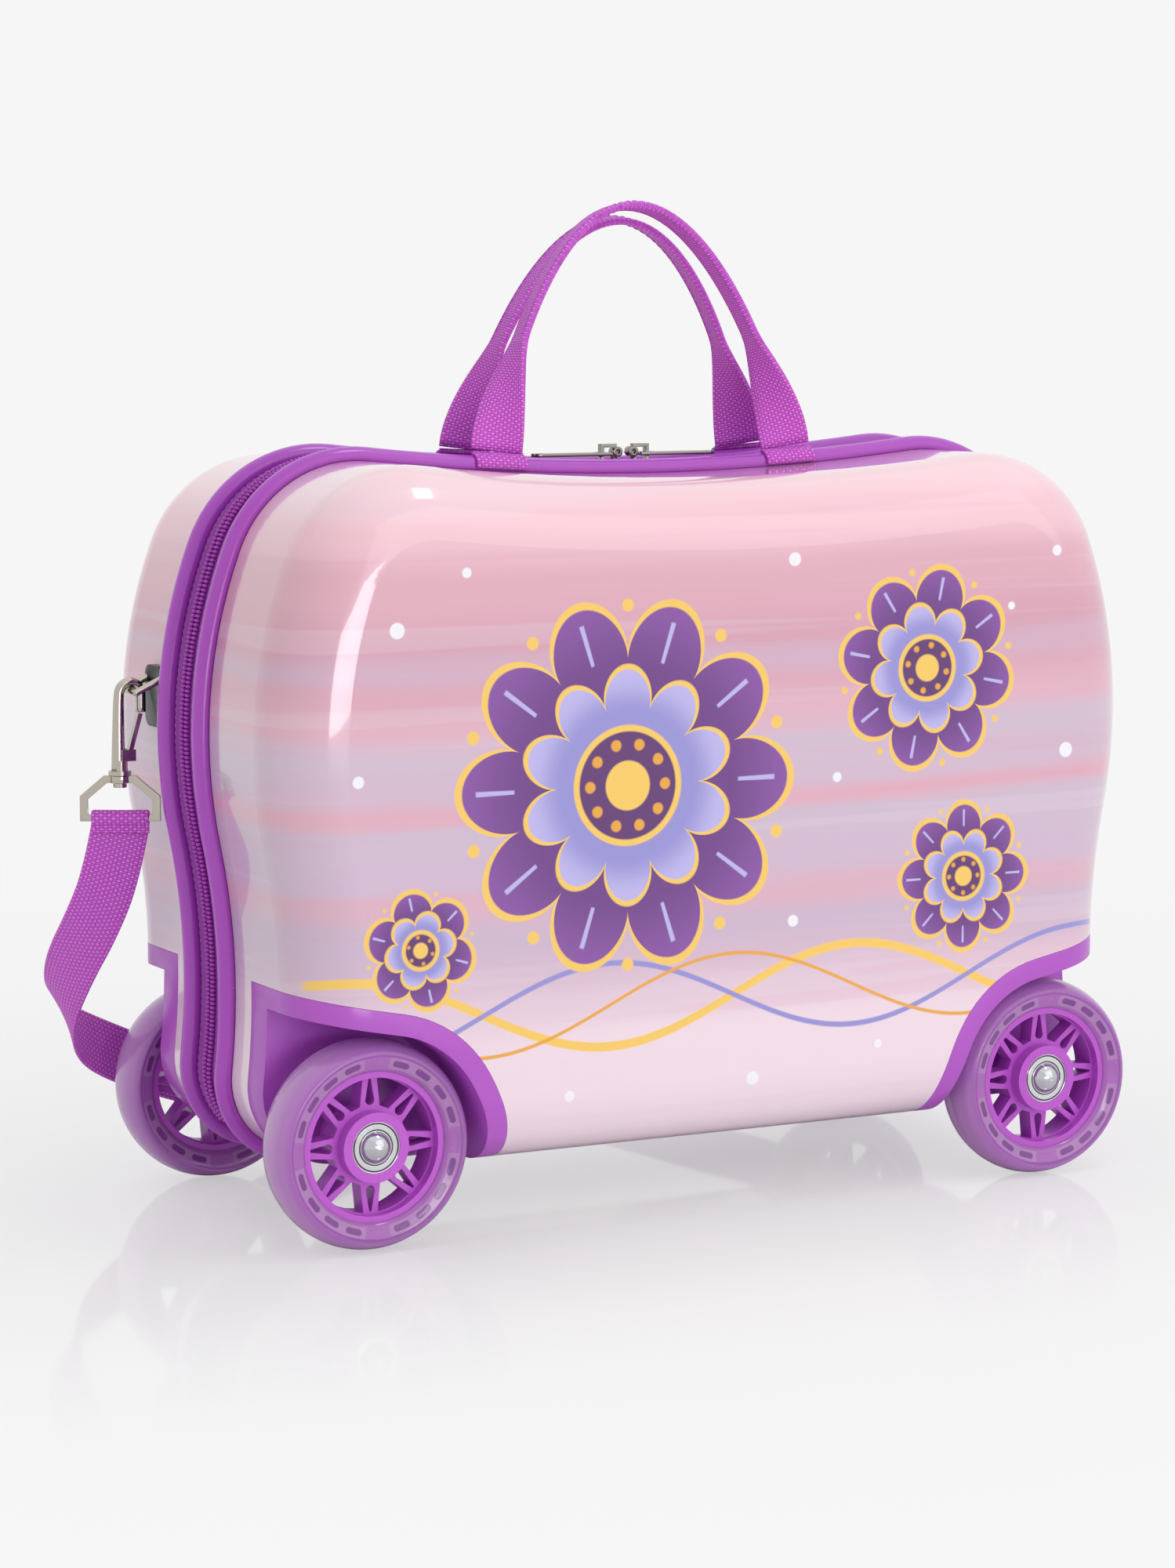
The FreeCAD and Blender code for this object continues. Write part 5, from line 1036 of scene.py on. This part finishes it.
for half, side in HALVES.items():
    for end, sign in ENDS.items():
        centre = Vector((sign * WHEEL_X, side * WHEEL_Y, WHEEL_Z))
        new_piece(f"{half}_{end}_tyre_ring", tyre_mesh(centre), TYRE, f"{half}_{end}_wheel",
                  "tyre", f"{half}_{end}_tyre")

# Packing straps across the back lining

PACK_HALF, PACK_Y, PACK_T, PACK_SEAM_Y = 0.170, 0.0948, 0.0012, 0.0940
PACK_LEVELS = (BULGE_H - 0.045, BULGE_H + 0.045)
FAR, NEAR, HIGH = 0.167, 0.152, 0.010
BOX_LINES = (((FAR, -HIGH), (FAR, HIGH)), ((FAR, HIGH), (NEAR, HIGH)), ((NEAR, HIGH), (NEAR, -HIGH)),
             ((NEAR, -HIGH), (FAR, -HIGH)), ((FAR, -HIGH), (NEAR, HIGH)), ((FAR, HIGH), (NEAR, -HIGH)))
bands, boxes = [], []
for level in PACK_LEVELS:
    centres = [Vector((PACK_HALF * (2 * i / 60 - 1), PACK_Y + 0.0002 * math.cos(i), level))
               for i in range(61)]
    bands.append(band_mesh("band", centres, [Vector((0, 0, 1))] * 61, WEB_W, PACK_T))
    for side in (-1, 1):
        for line in BOX_LINES:
            boxes.append([(Vector((side * x, PACK_SEAM_Y, level + z)), Vector((0, -1, 0)))
                          for x, z in line])
new_piece("packing_webbing", joined("packing", bands), WEBBING, "back_half", "webbing",
          "packing_straps")
rows_along("packing_sewing", boxes, *PACKING_STITCH, THREAD, "back_half", "webbing")

# Linings: cloth with a flat map over each half's inside

for half in HALVES:
    mesh = merged_copy(f"{half}_lining")
    layer = mesh.uv_layers[0] if mesh.uv_layers else mesh.uv_layers.new(name="UVMap")
    for loop in mesh.loops:
        co = mesh.vertices[loop.vertex_index].co
        layer.data[loop.index].uv = (co.x + co.y * 0.7, co.z + co.y * 0.7)
    new_piece(f"{half}_lining_cloth", mesh, LINING, f"{half}_half", "lining", f"{half}_lining")
    mesh.set_sharp_from_angle(angle=math.radians(40))

# Camera, light and floor


def add_camera():
    azimuth, elevation = math.radians(-27.748), math.radians(6.717)
    back = Vector((math.sin(azimuth) * math.cos(elevation),
                   -math.cos(azimuth) * math.cos(elevation), math.sin(elevation)))
    data = bpy.data.cameras.new("camera")
    data.sensor_width = 36.0
    data.sensor_fit = "AUTO"
    data.lens = 96.32
    data.clip_end = 50.0
    obj = bpy.data.objects.new("camera", data)
    obj.location = (-0.8933, -1.6633, 0.4016)
    obj.rotation_mode = "QUATERNION"
    obj.rotation_quaternion = back.to_track_quat("Z", "Y")
    scene.collection.objects.link(obj)
    scene.camera = obj


def add_light(name, place, target, width, height, power, mirrored=True):
    data = bpy.data.lights.new(name, "AREA")
    data.shape = "RECTANGLE"
    data.size = width
    data.size_y = height
    data.energy = power
    obj = bpy.data.objects.new(name, data)
    obj.visible_glossy = mirrored
    obj.location = place
    aim = Vector(place) - Vector(target)
    obj.rotation_mode = "QUATERNION"
    obj.rotation_quaternion = aim.to_track_quat("Z", "Y")
    scene.collection.objects.link(obj)


def add_floor():
    """A pale glossy floor that fades into the backdrop away from the case."""
    bpy.ops.mesh.primitive_circle_add(vertices=96, radius=4.0, fill_type="NGON",
                                      location=(0, 0, 0))
    floor = bpy.context.object
    floor.name = "floor"
    floor.data.transform(Matrix.Translation((0, 0, -0.0004)))
    f = Finish("studio_floor", rgb(246, 246, 246), 0.08)
    x, y, _ = f.axes()
    far = (x * x + y * y).op("SQRT")
    near = far.below(0.85, 0.40)
    glow = far.below(0.40, 0.30) * -0.30 + 0.92
    tree = f.tree
    diffuse = tree.nodes.new("ShaderNodeBsdfDiffuse")
    diffuse.inputs["Color"].default_value = rgb(247, 247, 247)
    gloss = tree.nodes.new("ShaderNodeBsdfGlossy")
    gloss.inputs["Roughness"].default_value = 0.06
    shine = tree.nodes.new("ShaderNodeMixShader")
    tree.links.new(((y * -1.0).below(0.20, 0.16) * 0.17).socket, shine.inputs[0])
    white = tree.nodes.new("ShaderNodeEmission")
    white.inputs["Color"].default_value = rgb(248, 248, 248)
    rays = tree.nodes.new("ShaderNodeLightPath")
    lit = tree.nodes.new("ShaderNodeMixShader")
    tree.links.new((glow * Flow(tree, rays.outputs["Is Camera Ray"])).socket, lit.inputs[0])
    clear = tree.nodes.new("ShaderNodeBsdfTransparent")
    fade = tree.nodes.new("ShaderNodeMixShader")
    tree.links.new(diffuse.outputs[0], lit.inputs[1])
    tree.links.new(white.outputs[0], lit.inputs[2])
    tree.links.new(lit.outputs[0], shine.inputs[1])
    tree.links.new(gloss.outputs[0], shine.inputs[2])
    tree.links.new(near.socket, fade.inputs[0])
    tree.links.new(clear.outputs[0], fade.inputs[1])
    tree.links.new(shine.outputs[0], fade.inputs[2])
    tree.links.new(fade.outputs[0], tree.nodes["Material Output"].inputs["Surface"])
    floor.data.materials.append(f.material)


def add_world():
    world = bpy.data.worlds.new("studio")
    world.use_nodes = True
    tree = world.node_tree
    light = tree.nodes["Background"]
    light.inputs["Color"].default_value = (1, 1, 1, 1)
    light.inputs["Strength"].default_value = 0.66
    seen = tree.nodes.new("ShaderNodeBackground")
    seen.inputs["Color"].default_value = rgb(246, 246, 246)
    rays = tree.nodes.new("ShaderNodeLightPath")
    mix = tree.nodes.new("ShaderNodeMixShader")
    shown = Flow(tree, rays.outputs["Is Camera Ray"])
    shown = shown.op("MAXIMUM", Flow(tree, rays.outputs["Is Glossy Ray"]))
    shown = shown.op("MAXIMUM", Flow(tree, rays.outputs["Is Transmission Ray"]))
    tree.links.new(shown.socket, mix.inputs[0])
    tree.links.new(light.outputs[0], mix.inputs[1])
    tree.links.new(seen.outputs[0], mix.inputs[2])
    tree.links.new(mix.outputs[0], tree.nodes["World Output"].inputs["Surface"])
    scene.world = world


add_camera()
add_world()
add_floor()
add_light("overhead", (0.3, -0.4, 2.4), (0, 0, 0.2), 4.0, 7.0, 13.5)
add_light("key", (0.9, -2.3, 1.3), (0, 0, 0.18), 2.6, 2.2, 10.0)
add_light("strip", (-0.05, -1.9, 0.22), (-0.15, 0, 0.22), 0.90, 0.32, 5.0)
add_light("window", (0.42, -0.42, 1.60), (0.42, -0.08, 0.3), 0.31, 0.46, 2.5)
add_light("rim", (0.2, 1.9, 1.5), (0, 0, 0.2), 1.6, 0.8, 4.0, mirrored=False)
